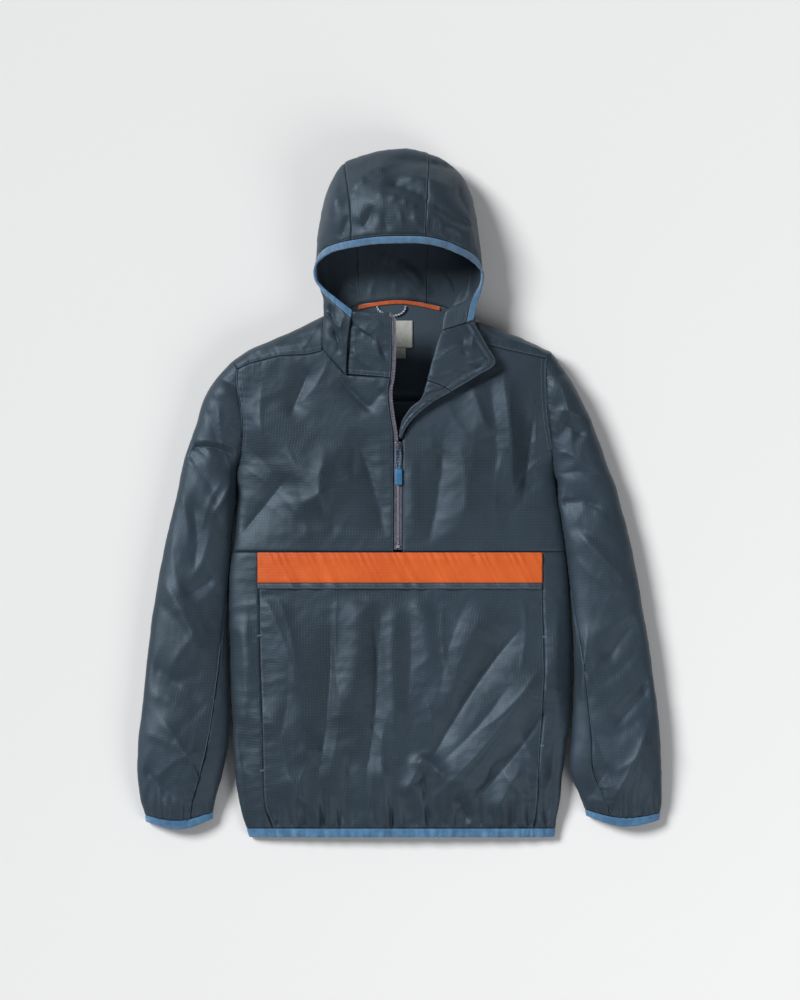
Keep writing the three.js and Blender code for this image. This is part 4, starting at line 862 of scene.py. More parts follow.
pocket = dress(lower_front(pocket_left, pocket_right), pucker="ew", seed=1.0)
panel("pocket panel", pocket, "pocket_panel")
side = dress(lower_front(left_x, pocket_left, slow_start), pucker="e", seed=2.0)
panel("left side", side, "side_left")
side = dress(lower_front(pocket_right, right_x, slow_end), pucker="w", seed=3.0)
panel("right side", side, "side_right")

# Upper fronts
ARMHOLE_Y = (33, 47, 61, 79, 97, 115, 134)
LOW_SIDE_Y = (FLAP_SEAM_Y, -58, -30, -4, 16)
SHOULDER = {
    "left": {
        "edge": left_x,
        "top": 180,
        "outer": [(-242, 192), (-218, 208), (-181, 224), (-144, 240), (-109.6, 257.4)],
        "seam": [(-235, 180), (-218, 188), (-175, 199), (-133, 201), (-112, 206)],
    },
    "right": {
        "edge": right_x,
        "top": 196,
        "outer": [(221, 203), (199, 214), (175, 225), (146, 237), (111.8, 249.4)],
        "seam": [(213, 196), (182, 202), (155, 208), (128, 215), (114.6, 218)],
    },
}
LEFT_NECK_SHARE = 0.412  # of the left front's top, from the armhole to the corner of yoke and neck
NECK_LEFT = [(-111, 209), (-78, 171), (-13, 167)]
NECK_LEFT_ZIP_Y = 167
COLLAR_TOP_Y = 261
OPEN_EDGE = table("y x", [(88, -9), (127, -15), (150, -16), (167, -13), (200, -11), (250, -11), (261, -16)])
open_edge_x = track(OPEN_EDGE, "y", "x")
CLOSED_LEFT_X, CLOSED_RIGHT_X = -8.6, 3.8
UNDER_FOLD = [
    (CLOSED_RIGHT_X, FLAP_SEAM_Y),
    (CLOSED_RIGHT_X, 78),
    (10, 96),
    (24, 115),
    (45, 138),
    (60, 163),
    (73, 185),
    (85, 198),
    (99, 209),
    (114.6, 218),
]


def left_zip_edge(y):
    return np.where(y < 88, lerp(CLOSED_LEFT_X, -9, smooth((y - 60) / 28)), open_edge_x(y))


def side_rows(side, v):
    rows = [*LOW_SIDE_Y, *ARMHOLE_Y] + [lerp(134, side["top"], k / 3) for k in (1, 2, 3)]
    return np.interp(v, np.linspace(0, 1, len(rows)), rows)


def patch(u, v, south, north, west, east):
    """A sheet in plan between four edges that meet at the corners."""
    u3, v3 = u[..., None], v[..., None]
    low = lerp(west[0], east[0], u3)
    high = lerp(west[-1], east[-1], u3)
    inner = lerp(south[None], north[None], v3) + lerp(west[:, None], east[:, None], u3)
    return inner - lerp(low, high, v3)


def upper_front(name):
    side = SHOULDER[name]
    u, v = grid_shares(*counts(232, 268))
    up = v[:, 0]
    if name == "left":
        u = slow_start(u)
        across = u[0]
        y = side_rows(side, up)
        west = np.stack([left_x(y), y], axis=1)
        zip_y = lerp(FLAP_SEAM_Y, NECK_LEFT_ZIP_Y, up)
        east = np.stack([left_zip_edge(zip_y), zip_y], axis=1)
        yoke = along(side["seam"], np.clip(across / LEFT_NECK_SHARE, 0, 1))
        past_yoke = np.clip((across - LEFT_NECK_SHARE) / (1 - LEFT_NECK_SHARE), 0, 1)
        neck = along([side["seam"][-1], *NECK_LEFT], past_yoke)
        north = np.where((across <= LEFT_NECK_SHARE)[:, None], yoke, neck)
    else:
        u = slow_end(u)
        across = u[0]
        y = side_rows(side, up)
        east = np.stack([right_x(y), y], axis=1)
        west = along(UNDER_FOLD, up)
        north = along(side["seam"][::-1], across)
    south = np.stack([lerp(west[0, 0], east[0, 0], across), np.full_like(across, FLAP_SEAM_Y)], axis=1)
    plan = patch(u, v, south, north, west, east)
    return on_front(plan[..., 0], plan[..., 1])


panel("left front", dress(upper_front("left"), pucker="new", seed=4.0), "front_upper_left")
panel("right front", dress(upper_front("right"), pucker="ne", seed=5.0), "front_upper_right")


def yoke(name):
    """Front yoke: it rises from the shoulder's outermost line to the seam with the upper front."""
    side = SHOULDER[name]
    u, v = grid_shares(*counts(140, 62))
    if name == "right":
        u = 1 - u
    outer = along(side["outer"], u[0])
    seam = along(side["seam"], u[0])
    plan = lerp(outer[None], seam[None], slow_start(1 - v)[..., None])
    high = front_z(seam[:, 0], seam[:, 1])[None]
    z = lerp(SHOULDER_EDGE_Z, high, slow_end(1 - v) ** 0.8)
    folds = creases_on(plan, YOKE_CREASES) * hump(v)
    return Cloth(np.concatenate([plan, (z + folds)[..., None]], axis=-1))


YOKE_CREASES = [
    (-226, 200, -150, 214, 7.9, 3.5, 4, 0.7),
    (-190, 206, -120, 232, 9.2, -2.9, 3, 0.5),
    (-140, 210, -118, 246, 6.6, 2.9, 0, 0.7),
    (206, 206, 140, 222, 7.9, 3.1, -4, 0.7),
    (180, 214, 124, 238, 7.9, -2.9, 3, 0.5),
]
panel("left yoke", dress(yoke("left"), pucker="s", seed=6.0), "yoke_left")
panel("right yoke", dress(yoke("right"), pucker="s", seed=7.0), "yoke_right")

# Sleeves: each row is a section from the outer edge to the inner edge, from the cuff up
SLEEVE_COLUMNS = "outer_x outer_y inner_x inner_y crown bow"
SLEEVES = {
    "left": [
        (-368, -477, -272, -472, 24, -13),
        (-370, -465, -271, -460, 29, -10),
        (-376, -442, -267, -440, 38, -6),
        (-380.4, -400, -257, -404, 47, -2),
        (-377, -340, -248, -350, 52, 0),
        (-367, -250, -249, -262, 54, 0),
        (-355, -155, -251, -168, 54, 0),
        (-340, -76, -246, -88, 54, 0),
        (-324, -7, -238.5, -15, 56, 0),
        (-316, 33, 0, UNDERARM_Y, 57, 0),
        (-306, 68, 0, 61, 58, 0),
        (-294, 103, 0, 91, 58, 0),
        (-284, 135, 0, 120, 57, 0),
        (-268, 162, 0, 149, 54, 0),
        (-242, 192, 0, 180, 0, 0),
    ],
    "right": [
        (376, -474, 272, -468, 24, -12),
        (378, -462, 269, -457, 29, -9),
        (380, -438, 260, -436, 38, -5),
        (379, -396, 247, -402, 47, -2),
        (376, -335, 250, -345, 52, 0),
        (365, -245, 253, -256, 54, 0),
        (350, -155, 250, -168, 54, 0),
        (335, -74, 241, -86, 54, 0),
        (316, 0, 230, -8, 56, 0),
        (304, 33, 0, UNDERARM_Y, 57, 0),
        (292, 68, 0, 61, 58, 0),
        (279, 101, 0, 95, 58, 0),
        (267, 128, 0, 127, 57, 0),
        (247, 165, 0, 162, 54, 0),
        (221, 203, 0, 196, 0, 0),
    ],
}
UNDERARM_ROW = 9
LAST_ROW = 14
CUFF_SEAM_ROW = 0.85
SEAM_SHARES = table(
    "row share",
    [(0, 0.37), (2, 0.31), (3, 0.26), (4, 0.22), (5, 0.13), (6, 0.03), (6.5, 0), (14, 0)],
)
seam_share = track(SEAM_SHARES, "row", "share")
UNDER_SEAM_SHARE = 0.62
SLEEVE_CREASES = [
    (-318, 40, -296, 62, 8.4, 2.7, 4, 0.8),
    (-288, 76, -240, 66, 8.4, 2.9, 3, 0.8),
    (-262, 120, -246, 40, 8.4, 2.7, -4, 0.8),
    (-280, 120, -262, 60, 8.4, -2.3, 3, 0.5),
    (-296, 40, -262, -20, 9.8, -2.7, 5, 0.5),
    (-262, 10, -286, -50, 8.4, 2.9, -4, 0.8),
    (-318, 0, -306, -70, 8.4, 2.3, 3, 0.7),
    (-276, -60, -300, -120, 8.4, 2.7, 4, 0.8),
    (-330, -70, -316, -150, 9.8, 2.3, -4, 0.7),
    (-262, -130, -330, -170, 8.4, 2.7, 7, 0.8),
    (-350, -160, -310, -210, 8.4, -2.7, 5, 0.5),
    (-270, -180, -330, -250, 8.4, 2.7, -6, 0.8),
    (-280, -250, -356, -280, 9.8, -2.3, 6, 0.5),
    (-362, -290, -300, -330, 9.8, 2.7, 6, 0.8),
    (-270, -300, -330, -360, 8.4, -2.3, -5, 0.5),
    (-368, -350, -310, -380, 8.4, 2.5, 5, 0.7),
    (-280, -370, -350, -410, 9.8, 2.7, -6, 0.7),
    (-300, -390, -280, -440, 8.4, -2.2, 3, 0.5),
    (-350, -410, -336, -460, 8.4, 2.7, -3, 0.8),
    (-320, -420, -312, -466, 7, -2.3, 2, 0.5),
    (232, 120, 262, 112, 8.4, 2.7, 3, 0.8),
    (236, 150, 250, 70, 8.4, 2.3, 4, 0.7),
    (230, 60, 268, 40, 8.4, 2.7, 5, 0.8),
    (240, 30, 300, 20, 8.4, -2.7, 5, 0.5),
    (236, -6, 300, -40, 8.4, 2.9, 6, 0.8),
    (250, -50, 306, -80, 9.8, -2.7, 4, 0.5),
    (262, -100, 320, -140, 8.4, 2.9, -5, 0.8),
    (330, -90, 300, -160, 8.4, 2.2, 4, 0.7),
    (340, -170, 286, -200, 8.4, 2.7, 6, 0.8),
    (346, -220, 300, -270, 8.4, -2.9, 5, 0.5),
    (262, -230, 290, -300, 9.8, 2.3, -4, 0.7),
    (360, -260, 306, -310, 8.4, 3.1, 6, 0.8),
    (366, -310, 310, -350, 8.4, -2.5, 5, 0.5),
    (372, -350, 320, -400, 8.4, 2.7, 5, 0.8),
    (270, -330, 300, -400, 9.8, -2.3, 4, 0.5),
    (350, -390, 330, -460, 8.4, 2.7, 3, 0.8),
    (300, -400, 310, -466, 7, -2.3, 2, 0.5),
    (368, -420, 352, -464, 7, 2.3, 2, 0.8),
]


class Sleeve:
    """The sections of one sleeve, row by row."""

    def __init__(self, name):
        rows = table(SLEEVE_COLUMNS, SLEEVES[name])
        for i, row in enumerate(rows):
            row["row"] = i
        low = rows[:UNDERARM_ROW]
        self.side = SHOULDER[name]["edge"]
        self.read = {c: track(rows, "row", c) for c in ("outer_x", "outer_y", "inner_y", "crown", "bow")}
        self.low_inner_x = track(low, "row", "inner_x")

    def section(self, row):
        on_body = smooth((row - 8.4) / 0.6)
        inner_y = self.read["inner_y"](row)
        edge = lerp(10, 21, smooth(row / 4))
        at = {c: self.read[c](row) for c in ("outer_x", "outer_y", "bow")}
        at["inner_y"] = inner_y
        at["inner_x"] = lerp(self.low_inner_x(row), self.side(inner_y), on_body)
        at["inner_top"] = lerp(edge, edge_top(inner_y), on_body)
        at["inner_low"] = lerp(edge, np.clip(edge_low(inner_y), 0, edge_top(inner_y)), on_body)
        at["ease"] = lerp(0.7, arch(inner_y), on_body)
        last = smooth((row - LAST_ROW + 0.5) / 0.5)
        at["crown"] = lerp(np.maximum(self.read["crown"](row), at["inner_top"] + 1), at["inner_top"], last)
        at["outer_z"] = lerp(edge, SHOULDER_EDGE_Z, smooth((row - 8) / 4))
        at["last"] = last
        wide = np.hypot(at["outer_x"] - at["inner_x"], at["outer_y"] - inner_y)
        at["roll"] = np.minimum(ROLL_UNDER / wide, ROLL_MOST)
        at["start"] = np.maximum(UNDER_SEAM_SHARE, at["roll"] + 0.1)
        return at


def sleeve_plan(at, f, bow):
    x = lerp(at["outer_x"], at["inner_x"], f)
    return x, lerp(at["outer_y"], at["inner_y"], f) + bow * at["bow"] * hump(f)


def sleeve_top(at, f, folds=True):
    """Over the sleeve at shares of its width, from the outer edge to the inner edge."""
    rise = np.clip(1 - (1 - f) ** 2, 0, 1) ** (0.5 * lerp(0.7, 0.8, at["last"]))
    fall = 1 - np.clip(1 - f * f, 0, 1) ** (at["ease"] / 2)
    x, y = sleeve_plan(at, f, 1)
    z = at["outer_z"] + (at["crown"] - at["outer_z"]) * rise + (at["inner_top"] - at["crown"]) * fall
    if folds:
        calm = smooth(np.minimum(f, 1 - f) / 0.14) * (1 - at["last"])
        folded = creases(x, y, SLEEVE_FOLDS) + creases(x, y, SLEEVE_CREASES)
        z = z + calm * (folded + gathers(x, y - CUFF_SEAM_Y, CUFF_GATHERS))
    return xyz(x, y, z)


def sleeve_below(at, f):
    """Under the sleeve at shares of its width, rolled up to both edges."""
    x, y = sleeve_plan(at, f, 0.4)
    outer = at["outer_z"] * rolled_up(f, at["roll"])
    inner = at["inner_low"] * rolled_up(1 - f, at["roll"])
    return xyz(x, y, outer + inner * (1 - at["last"]))


def rolled_up(f, roll):
    """From 1 at the sleeve's edge down a quarter circle to 0 where it meets the surface."""
    return 1 - np.sqrt(np.clip(1 - np.clip(1 - f / roll, 0, 1) ** 2, 0, 1))


def sleeve_rows(name, count):
    rows = np.linspace(CUFF_SEAM_ROW, LAST_ROW, count)
    at = {k: v[:, None] for k, v in Sleeve(name).section(rows).items()}
    return at, seam_share(rows)[:, None]


def upper_sleeve(name):
    """From the hidden seam below, round the outer edge and over the top to the seam that shows."""
    at, share = sleeve_rows(name, 210)
    low = sleeve_below(at, at["start"] * (1 - slow_end(np.linspace(0, 1, 16)[None, :-1]) ** 0.7))
    high = sleeve_top(at, slow_ends(46)[None] * (1 - share))
    points = np.concatenate([low, high], axis=1)
    return Cloth(points if name == "left" else points[:, ::-1])


def under_sleeve(name):
    """The rest of the sleeve: the inner edge, and the strip that lies on the surface."""
    at, share = sleeve_rows(name, 150)
    flat = sleeve_below(at, lerp(at["start"], 1 - at["roll"], np.linspace(0, 1, 4)[None, :-1]))
    turned = sleeve_below(at, 1 - at["roll"] * (1 - slow_end(np.linspace(0, 1, 9)[None, :-1])))
    over = sleeve_top(at, 1 - share * slow_start(np.linspace(0, 1, 14)[None]))
    points = np.concatenate([flat, turned, over], axis=1)
    return Cloth(points[:, ::-1] if name == "left" else points)


for name, inner, outer, seed in (("left", "e", "w", 8.0), ("right", "w", "e", 9.0)):
    cloth = dress(upper_sleeve(name), pucker="s" + inner, wrinkle=1.4, cell=40, turn=1.2, seed=seed)
    panel(name + " upper sleeve", cloth, "sleeve_upper_" + name)
    cloth = dress(under_sleeve(name), pucker="s" + outer, wrinkle=1.0, cell=34, turn=1.2, seed=seed + 2)
    panel(name + " under sleeve", cloth, "sleeve_under_" + name)

# Bindings of cuffs and hem
for name in ("left", "right"):
    sleeve = Sleeve(name)
    loops = []
    for row in (CUFF_SEAM_ROW - 0.01, 0.0):
        over = sleeve_top(sleeve.section(np.full(70, row)), slow_ends(70), folds=False)
        below = sleeve_below(sleeve.section(np.full(50, row)), 1 - slow_ends(50))
        loops.append(np.concatenate([over, below[1:]]))
    inward, node_name = ring_inward(loops[0]), "cuff_binding_" + name
    binding(name + " cuff", *loops, inward, node_name, True, ["floor"], BINDING["thick"])

hem_lines = []
for y in (HEM_SEAM_Y, HEM_Y):
    halves = []
    for share, height in ((slow_ends(260), front_z), (slow_ends(120)[::-1], back_z)):
        x = lerp(left_x(y), right_x(y), share)
        level = np.full_like(x, y)
        halves.append(xyz(x, level, height(x, level)))
    hem_lines.append(np.concatenate([halves[0], halves[1][1:]]))
binding("hem", *hem_lines, ring_inward(hem_lines[0]), "hem_binding", True, ["floor"], BINDING["thick"])

# Back: flat on the floor, rolled up to the outline, with shallow creases pressed into it
BACK_SEAM_Y = 134
BACK_CREASES = [
    (-150, -440, -120, -300, 11.7, 2.1, 6, 0.4),
    (-60, -470, -70, -330, 10.4, 2.4, -4, 0.5),
    (40, -460, 30, -300, 11.7, 2.1, 5, 0.4),
    (130, -450, 150, -320, 10.4, 2.4, -6, 0.5),
    (-180, -240, -100, -180, 11.7, 2, 6, 0.5),
    (120, -260, 190, -160, 11.7, 2.2, -7, 0.5),
    (-120, -80, -60, 20, 13, 2, 6, 0.4),
    (20, -120, 60, 0, 11.7, 2.1, -5, 0.5),
    (110, -60, 170, 40, 11.7, 2, 6, 0.4),
    (-190, 20, -120, 90, 11.7, 2.2, -6, 0.5),
    (-40, 60, 40, 100, 11.7, 1.8, 4, 0.4),
]
u, v = grid_shares(74, 104)
y = lerp(HEM_SEAM_Y, BACK_SEAM_Y, v)
x = lerp(left_x(y), right_x(y), (1 + np.cos(math.pi * u)) / 2)
flat = creases(x, y, BACK_CREASES) + 0.5 * smooth(1 - (y - HEM_SEAM_Y) / 50) * uneven(x / 3.2)
flat = np.clip(flat, 0, 2) * smooth(np.minimum(v, 1 - v) / 0.03) * smooth(np.minimum(u, 1 - u) / 0.2)
panel("back panel", Cloth(xyz(x, y, back_z(x, y) + flat)), "back_panel")

NECK_BACK = [
    (-91, 265, 8),
    (-66, 272, 0),
    (-28, 279, 0),
    (0, 281, 0),
    (40, 276, 0),
    (72, 267, 0),
    (92, 259, 8),
]
SHOULDER_LINES = {
    "left": [(-242, 192), (-218, 208), (-181, 224), (-144, 240), (-108, 258)],
    "right": [(109, 250), (146, 237), (175, 225), (199, 214), (221, 203)],
}


def back_yoke():
    """Flat from the back seam, rolled up to the shoulder's outermost line, flat at the neck."""
    upper = [(x, y, SHOULDER_EDGE_Z, 0.5, -0.866) for x, y in SHOULDER_LINES["left"]]
    upper += [(x, y, z, 0, -1) for x, y, z in NECK_BACK]
    upper += [(x, y, SHOULDER_EDGE_Z, -0.55, -0.835) for x, y in SHOULDER_LINES["right"]]
    upper[0] = (*upper[0][:3], 7 / ROLL_UNDER, -12 / ROLL_UNDER)
    upper[-1] = (*upper[-1][:3], -8 / ROLL_UNDER, -7 / ROLL_UNDER)
    middle = (left_x(BACK_SEAM_Y) + right_x(BACK_SEAM_Y)) / 2
    half = (right_x(BACK_SEAM_Y) - left_x(BACK_SEAM_Y)) / 2
    ends = {0: "left", len(upper) - 1: "right"}
    columns = []
    for k, (x, y, z, in_x, in_y) in enumerate(upper):
        joint = (x + ROLL_UNDER * in_x, y + ROLL_UNDER * in_y, 0)
        foot_x, foot_y = x + ROLL_UNDER / 2 * in_x, y + ROLL_UNDER / 2 * in_y
        if k in ends:
            side = SHOULDER[ends[k]]
            rows = [lerp(BACK_SEAM_Y, side["top"], n / 3) for n in range(3)]
            flat = [(float(side["edge"](row)), row, 0) for row in rows] + [joint]
        else:
            start = (middle + min(1, max(-1, (x - middle) / half)) * half, BACK_SEAM_Y, 0)
            flat = [tuple(lerp(a, b, n / 3) for a, b in zip(start, joint)) for n in range(4)]
        for t in (0.25, 0.5, 0.75, 1.0):
            out = slow_end(t)
            flat.append((lerp(foot_x, x, out), lerp(foot_y, y, out), z * slow_start(t)))
        columns.append(flat)
    coarse = np.array(columns[::-1], float)
    rows = np.array([along_index(line, np.linspace(0, 1, 97)) for line in coarse.swapaxes(0, 1)])
    fine = np.stack([along_index(line, np.linspace(0, 1, 29)) for line in rows.swapaxes(0, 1)], axis=1)
    fine[..., 2] = np.maximum(fine[..., 2], 0)
    return Cloth(fine)


def along_index(line, t):
    place = np.linspace(0, 1, len(line))
    return np.stack([np.interp(t, place, line[:, k]) for k in range(3)], axis=-1)


panel("back yoke", back_yoke(), "back_yoke")

# Hood: stations round the face opening, each a section from the brim over the dome to the neck
HOOD = [
    (-69, 264, 78, -73, 240, 76, -76, 215, 72, -77, 193, 68, -78, 171, 66),
    (-92, 282, 71, -91, 254, 73, -94, 232, 70, -98, 212, 66, -99, 195, 62),
    (-112, 298, 63, -106, 276, 63, -108, 254, 61, -110, 230, 61, -111, 209, 59),
    (-121, 307, 58, -113, 292, 52, -109, 276, 49, -108, 262, 49, -109, 246, 52),
    (-124, 316, 55, -117, 303, 45, -110, 292, 37, -108, 276, 28, -108, 258, 22),
    (-123, 328, 55, -122, 321, 44, -119, 316, 28, -110, 300, 6, -91, 265, 8),
    (-118, 336, 60, -120, 341, 50, -120, 345, 26, -108, 342, 0, -78, 269, 3),
    (-102, 347, 75, -114, 368, 62, -118, 376, 28, -106, 372, 0, -66, 272, 0),
    (-86, 352, 88, -105, 392, 79, -112, 408, 31, -98, 402, 0, -62, 273, 0),
    (-78, 353.5, 94, -96, 421, 88, -101, 446, 35, -88, 436, 0, -60, 274, 0),
    (-70, 355, 98, -72, 415, 96, -80, 478, 40, -72, 462, 0, -57, 275, 0),
    (-37, 359.5, 108, -39, 424, 106, -45, 491, 42, -43, 473, 0, -28, 279, 0),
    (0, 361, 110, 0, 428, 108, 0, 499, 43, 0, 480, 0, 0, 281, 0),
    (37, 360, 107, 40, 424, 106, 43, 492, 42, 40, 474, 0, 40, 276, 0),
    (67, 353.5, 97, 72, 408, 96, 80, 471, 38, 70, 456, 0, 59, 271, 0),
    (88, 344.5, 86, 97, 386, 82, 102, 438, 33, 89, 428, 0, 66, 269, 0),
    (102, 337.5, 76, 109, 362, 67, 112, 386, 28, 98, 381, 0, 72, 267, 0),
    (114, 328, 66, 117, 343, 53, 116, 347, 26, 102, 343, 0, 82, 263, 3),
    (121, 319, 60, 119, 314, 47, 115, 311, 28, 105, 300, 5, 92, 259, 8),
    (121, 309, 58, 116, 298, 50, 111, 285, 38, 108, 270, 28, 109, 250, 22),
    (117, 290, 60, 106, 284, 61, 92, 274, 58, 97, 262, 48, 111, 238, 50),
    (111, 272, 66, 90, 269, 72, 68, 264, 77, 74, 255, 67, 112, 228, 58),
    (106, 251, 70, 83, 243, 77, 61, 235, 81, 68, 231, 73, 113, 219, 60),
]
HOOD_PIECES = [("left", 0, 10, "nes"), ("centre", 10, 13, "news"), ("right", 13, 22, "nws")]
HOOD_CREASES = [
    (-17, 446, 38, 424, 13.8, -11.5, 4, 0.6),
    (38, 424, 104, 386, 13.8, -11.5, -4, 0.6),
    (-8, 482, 82, 470, 12.3, -10.3, 3, 0.6),
    (-40, 412, -56, 382, 12.3, -8.8, 3, 0.6),
    (20, 400, 30, 378, 11, 5.8, 0, 0.8),
    (-70, 440, -20, 470, 15.2, 9.2, 4, 0.6),
    (-100, 268, -92, 226, 8.2, -6.8, 0, 0.6),
    (-108, 262, -86, 240, 6.8, 6.1, 0, 0.9),
    (-96, 236, -88, 206, 6.8, -5.8, 2, 0.6),
    (-84, 250, -80, 206, 6.8, 4.8, -3, 0.8),
    (-30, 432, 24, 414, 6.8, 6.9, 3, 0.9),
    (44, 410, 96, 376, 6.8, 6.9, -4, 0.9),
    (10, 456, 70, 444, 8.2, 5.5, 3, 0.8),
    (-60, 400, -50, 376, 5.5, 4.4, 0, 0.9),
    (-74, 396, -84, 372, 6.8, -4.4, 0, 0.6),
    (-24, 402, -16, 380, 6.8, -5, 0, 0.6),
    (0, 404, 6, 380, 5.5, 5.5, 0, 0.9),
    (46, 396, 44, 376, 5.5, -4.1, 0, 0.6),
    (62, 392, 56, 372, 5.5, 4.4, 0, 0.9),
    (78, 380, 70, 364, 5.5, -4.1, 0, 0.6),
    (-96, 420, -62, 430, 8.2, 5.9, 3, 0.8),
    (-50, 452, 0, 470, 8.2, -4.6, 3, 0.6),
    (96, 400, 108, 360, 8.2, 4.4, 3, 0.8),
    (86, 440, 98, 410, 8.2, -5.5, -3, 0.6),
]
HOOD_INNER_CREASES = [
    (-66, 318, -22, 342, 8, 5, 8, 0.5),
    (-22, 342, 32, 306, 9, 6, 5, 0.5),
    (-60, 302, -18, 328, 7, -3, 6, 0.3),
    (-34, 312, -44, 288, 6, 4, 0, 0.5),
    (6, 330, 46, 292, 8, 4.5, -5, 0.5),
    (36, 330, 78, 296, 8, 5, 6, 0.4),
    (-82, 330, -60, 292, 8, 4, -5, 0.4),
    (-10, 300, 22, 286, 6, 4, 3, 0.5),
    (58, 348, 84, 316, 7, 4, 3, 0.5),
    (-30, 366, 30, 352, 9, 5, 5, 0.4),
    (-90, 356, -56, 372, 9, 4, 4, 0.4),
]


def hood_sheet(first, last, from_mm, to_mm, rows, pitch=CLOTH_PITCH):
    """A sheet between two stations, from so far behind the brim to so far, or to the neck."""
    stations = []
    for row in HOOD:
        knots = np.array(row, float).reshape(5, 3)
        line = curve(knots, np.linspace(0, 1, 81))
        long = np.linalg.norm(np.diff(line, axis=0), axis=1).sum()
        end = 1 if to_mm is None else to_mm / long
        stations.append(along(line, np.linspace(from_mm / long, end, rows + 1)))
    stations = np.array(stations)
    share = np.linspace(first, last, max(12, round(34 * (last - first) / pitch))) / (len(HOOD) - 1)
    points = np.array([curve(stations[:, k], share) for k in range(rows + 1)])
    fold = creases_on(points, HOOD_CREASES) * smooth((points[..., 2] - 30) / 16)
    inner = creases_on(points, HOOD_INNER_CREASES) * smooth((16 - points[..., 2]) / 12)
    points[..., 2] = np.maximum(points[..., 2] + fold + inner, 0)
    return Cloth(points)


HOOD_LOOK = {"pucker": "s", "wrinkle": 1.3, "cell": 30, "turn": 0.6, "pucker_high": 1.0}
for name, first, last, seams in HOOD_PIECES:
    cloth = hood_sheet(first, last, BINDING_WIDTH + 2 * SEAM_GAP, None, 64)
    cloth = dress(cloth, seams=seams, seed=12.0 + first, **HOOD_LOOK)
    panel("hood " + name, cloth, "hood_" + name)

seam = hood_sheet(0, 22, BINDING_WIDTH, BINDING_WIDTH + 1, 2, pitch=2.0)
rim = hood_sheet(0, 22, 0, 1, 2, pitch=2.0).points[0]
binding(
    "hood edge",
    seam.points[0],
    rim,
    -seam.normal[0],
    "hood_binding",
    closed=False,
    rests_on=["hood centre"],
    thick=BINDING["hood_thick"],
)

# Left collar: it stands up from the neck's seam to its top edge
COLLAR_CREASES = [
    (-72, 248, -54, 232, 6.6, -5.7, 0, 0.6),
    (-54, 232, -20, 196, 7.9, -5.1, 6, 0.6),
    (-60, 240, -30, 212, 6.6, 5.1, 5, 0.9),
    (-66, 206, -40, 182, 7.9, 4, -4, 0.8),
    (-50, 258, -26, 240, 6.6, 3.4, 3, 0.8),
    (-34, 224, -22, 186, 6.6, 3.8, -3, 0.8),
]
COLLAR_BACK = {"low": (-76.2, 172.4), "top": (-68.7, 263)}
COLLAR_TOP_Z = (78, 80)
(low_x, low_y), (top_x, top_y) = COLLAR_BACK["low"], COLLAR_BACK["top"]
u, v = grid_shares(34, 46)
zip_y = lerp(NECK_LEFT_ZIP_Y, COLLAR_TOP_Y, v)
y = lerp(lerp(low_y, top_y, v), zip_y, u)
x = lerp(lerp(low_x, top_x, v), left_zip_edge(zip_y), u)
low = front_z(lerp(low_x, float(left_zip_edge(NECK_LEFT_ZIP_Y)), u), lerp(low_y, NECK_LEFT_ZIP_Y, u))
fold = creases(x, y, COLLAR_CREASES) * hump(v) ** 0.5
z = lerp(low, lerp(*COLLAR_TOP_Z, u), v) + 3 * hump(u) * hump(v) + fold
cloth = dress(Cloth(xyz(x, y, z)), pucker="esw", wrinkle=0.9, cell=22, seed=20.0)
panel("left collar", cloth, "collar_left")

# Right collar and the top of the right front, turned out over the front
TURNED = [
    (2.6, 80, 67, 0.8, 81, 68.5, -1.2, 82, 68, 2.9, 79.8),
    (11, 96, 69, 7, 99, 71, 3, 102, 71, 9.2, 97),
    (25, 112, 71, 20, 117, 74, 14, 121, 74, 23.3, 116),
    (48, 131, 73, 41, 135, 77, 32, 138, 78, 44.3, 139),
    (76, 147, 74, 60, 156, 79, 40, 163, 81, 59.1, 164),
    (112, 169, 75, 83, 182, 80, 48, 193, 83, 72.2, 186),
    (139, 188, 73, 97, 200, 80, 52, 208, 83, 84.3, 199.1),
    (126, 215, 72, 92, 218, 79, 56, 221, 82, 98.5, 210),
    (107, 249.2, 70.3, 84, 242.2, 77, 61, 234, 80.7, 112.5, 217.6),
]
TURNED_COLLAR_ROW = 4
TURNED_CREASES = [
    (126, 196, 100, 188, 5.3, 4, 2, 0.9),
    (118, 182, 92, 176, 5.3, -3.4, 0, 0.6),
    (104, 208, 108, 232, 5.3, 4, 0, 0.9),
    (96, 200, 92, 226, 6.6, -3.4, 2, 0.6),
    (60, 196, 100, 214, 6.6, 3.8, 4, 0.8),
    (46, 170, 80, 176, 6.6, 3.4, -3, 0.8),
    (40, 146, 64, 152, 5.3, 3.4, 2, 0.8),
]
knot_lines = []
for edge_x, edge_y, edge_z, mid_x, mid_y, mid_z, roll_x, roll_y, roll_z, foot_x, foot_y in TURNED:
    foot_z = height_at(foot_x, foot_y)
    under = (lerp(roll_x, foot_x, 0.22), lerp(roll_y, foot_y, 0.22) - 2.5, lerp(roll_z, foot_z, 0.4) - 2)
    over = [(edge_x, edge_y, edge_z), (mid_x, mid_y, mid_z), (roll_x, roll_y, roll_z)]
    knot_lines.append(curve([*over, under, (foot_x, foot_y, foot_z)], np.linspace(0, 1, 61)))
knot_lines = np.array(knot_lines)


def turned_sheet(first, last, columns):
    share = np.linspace(first, last, columns) / (len(TURNED) - 1)
    points = np.array([curve(knot_lines[:, k], share) for k in range(knot_lines.shape[1])])
    top = smooth((points[..., 2] - 66) / 8)
    points[..., 2] += creases_on(points, TURNED_CREASES) * top
    return Cloth(points)


FACING = {"wide": 12.5, "valley": 1.3, "half": 2.0, "pucker": 1.1, "period": 8.5}


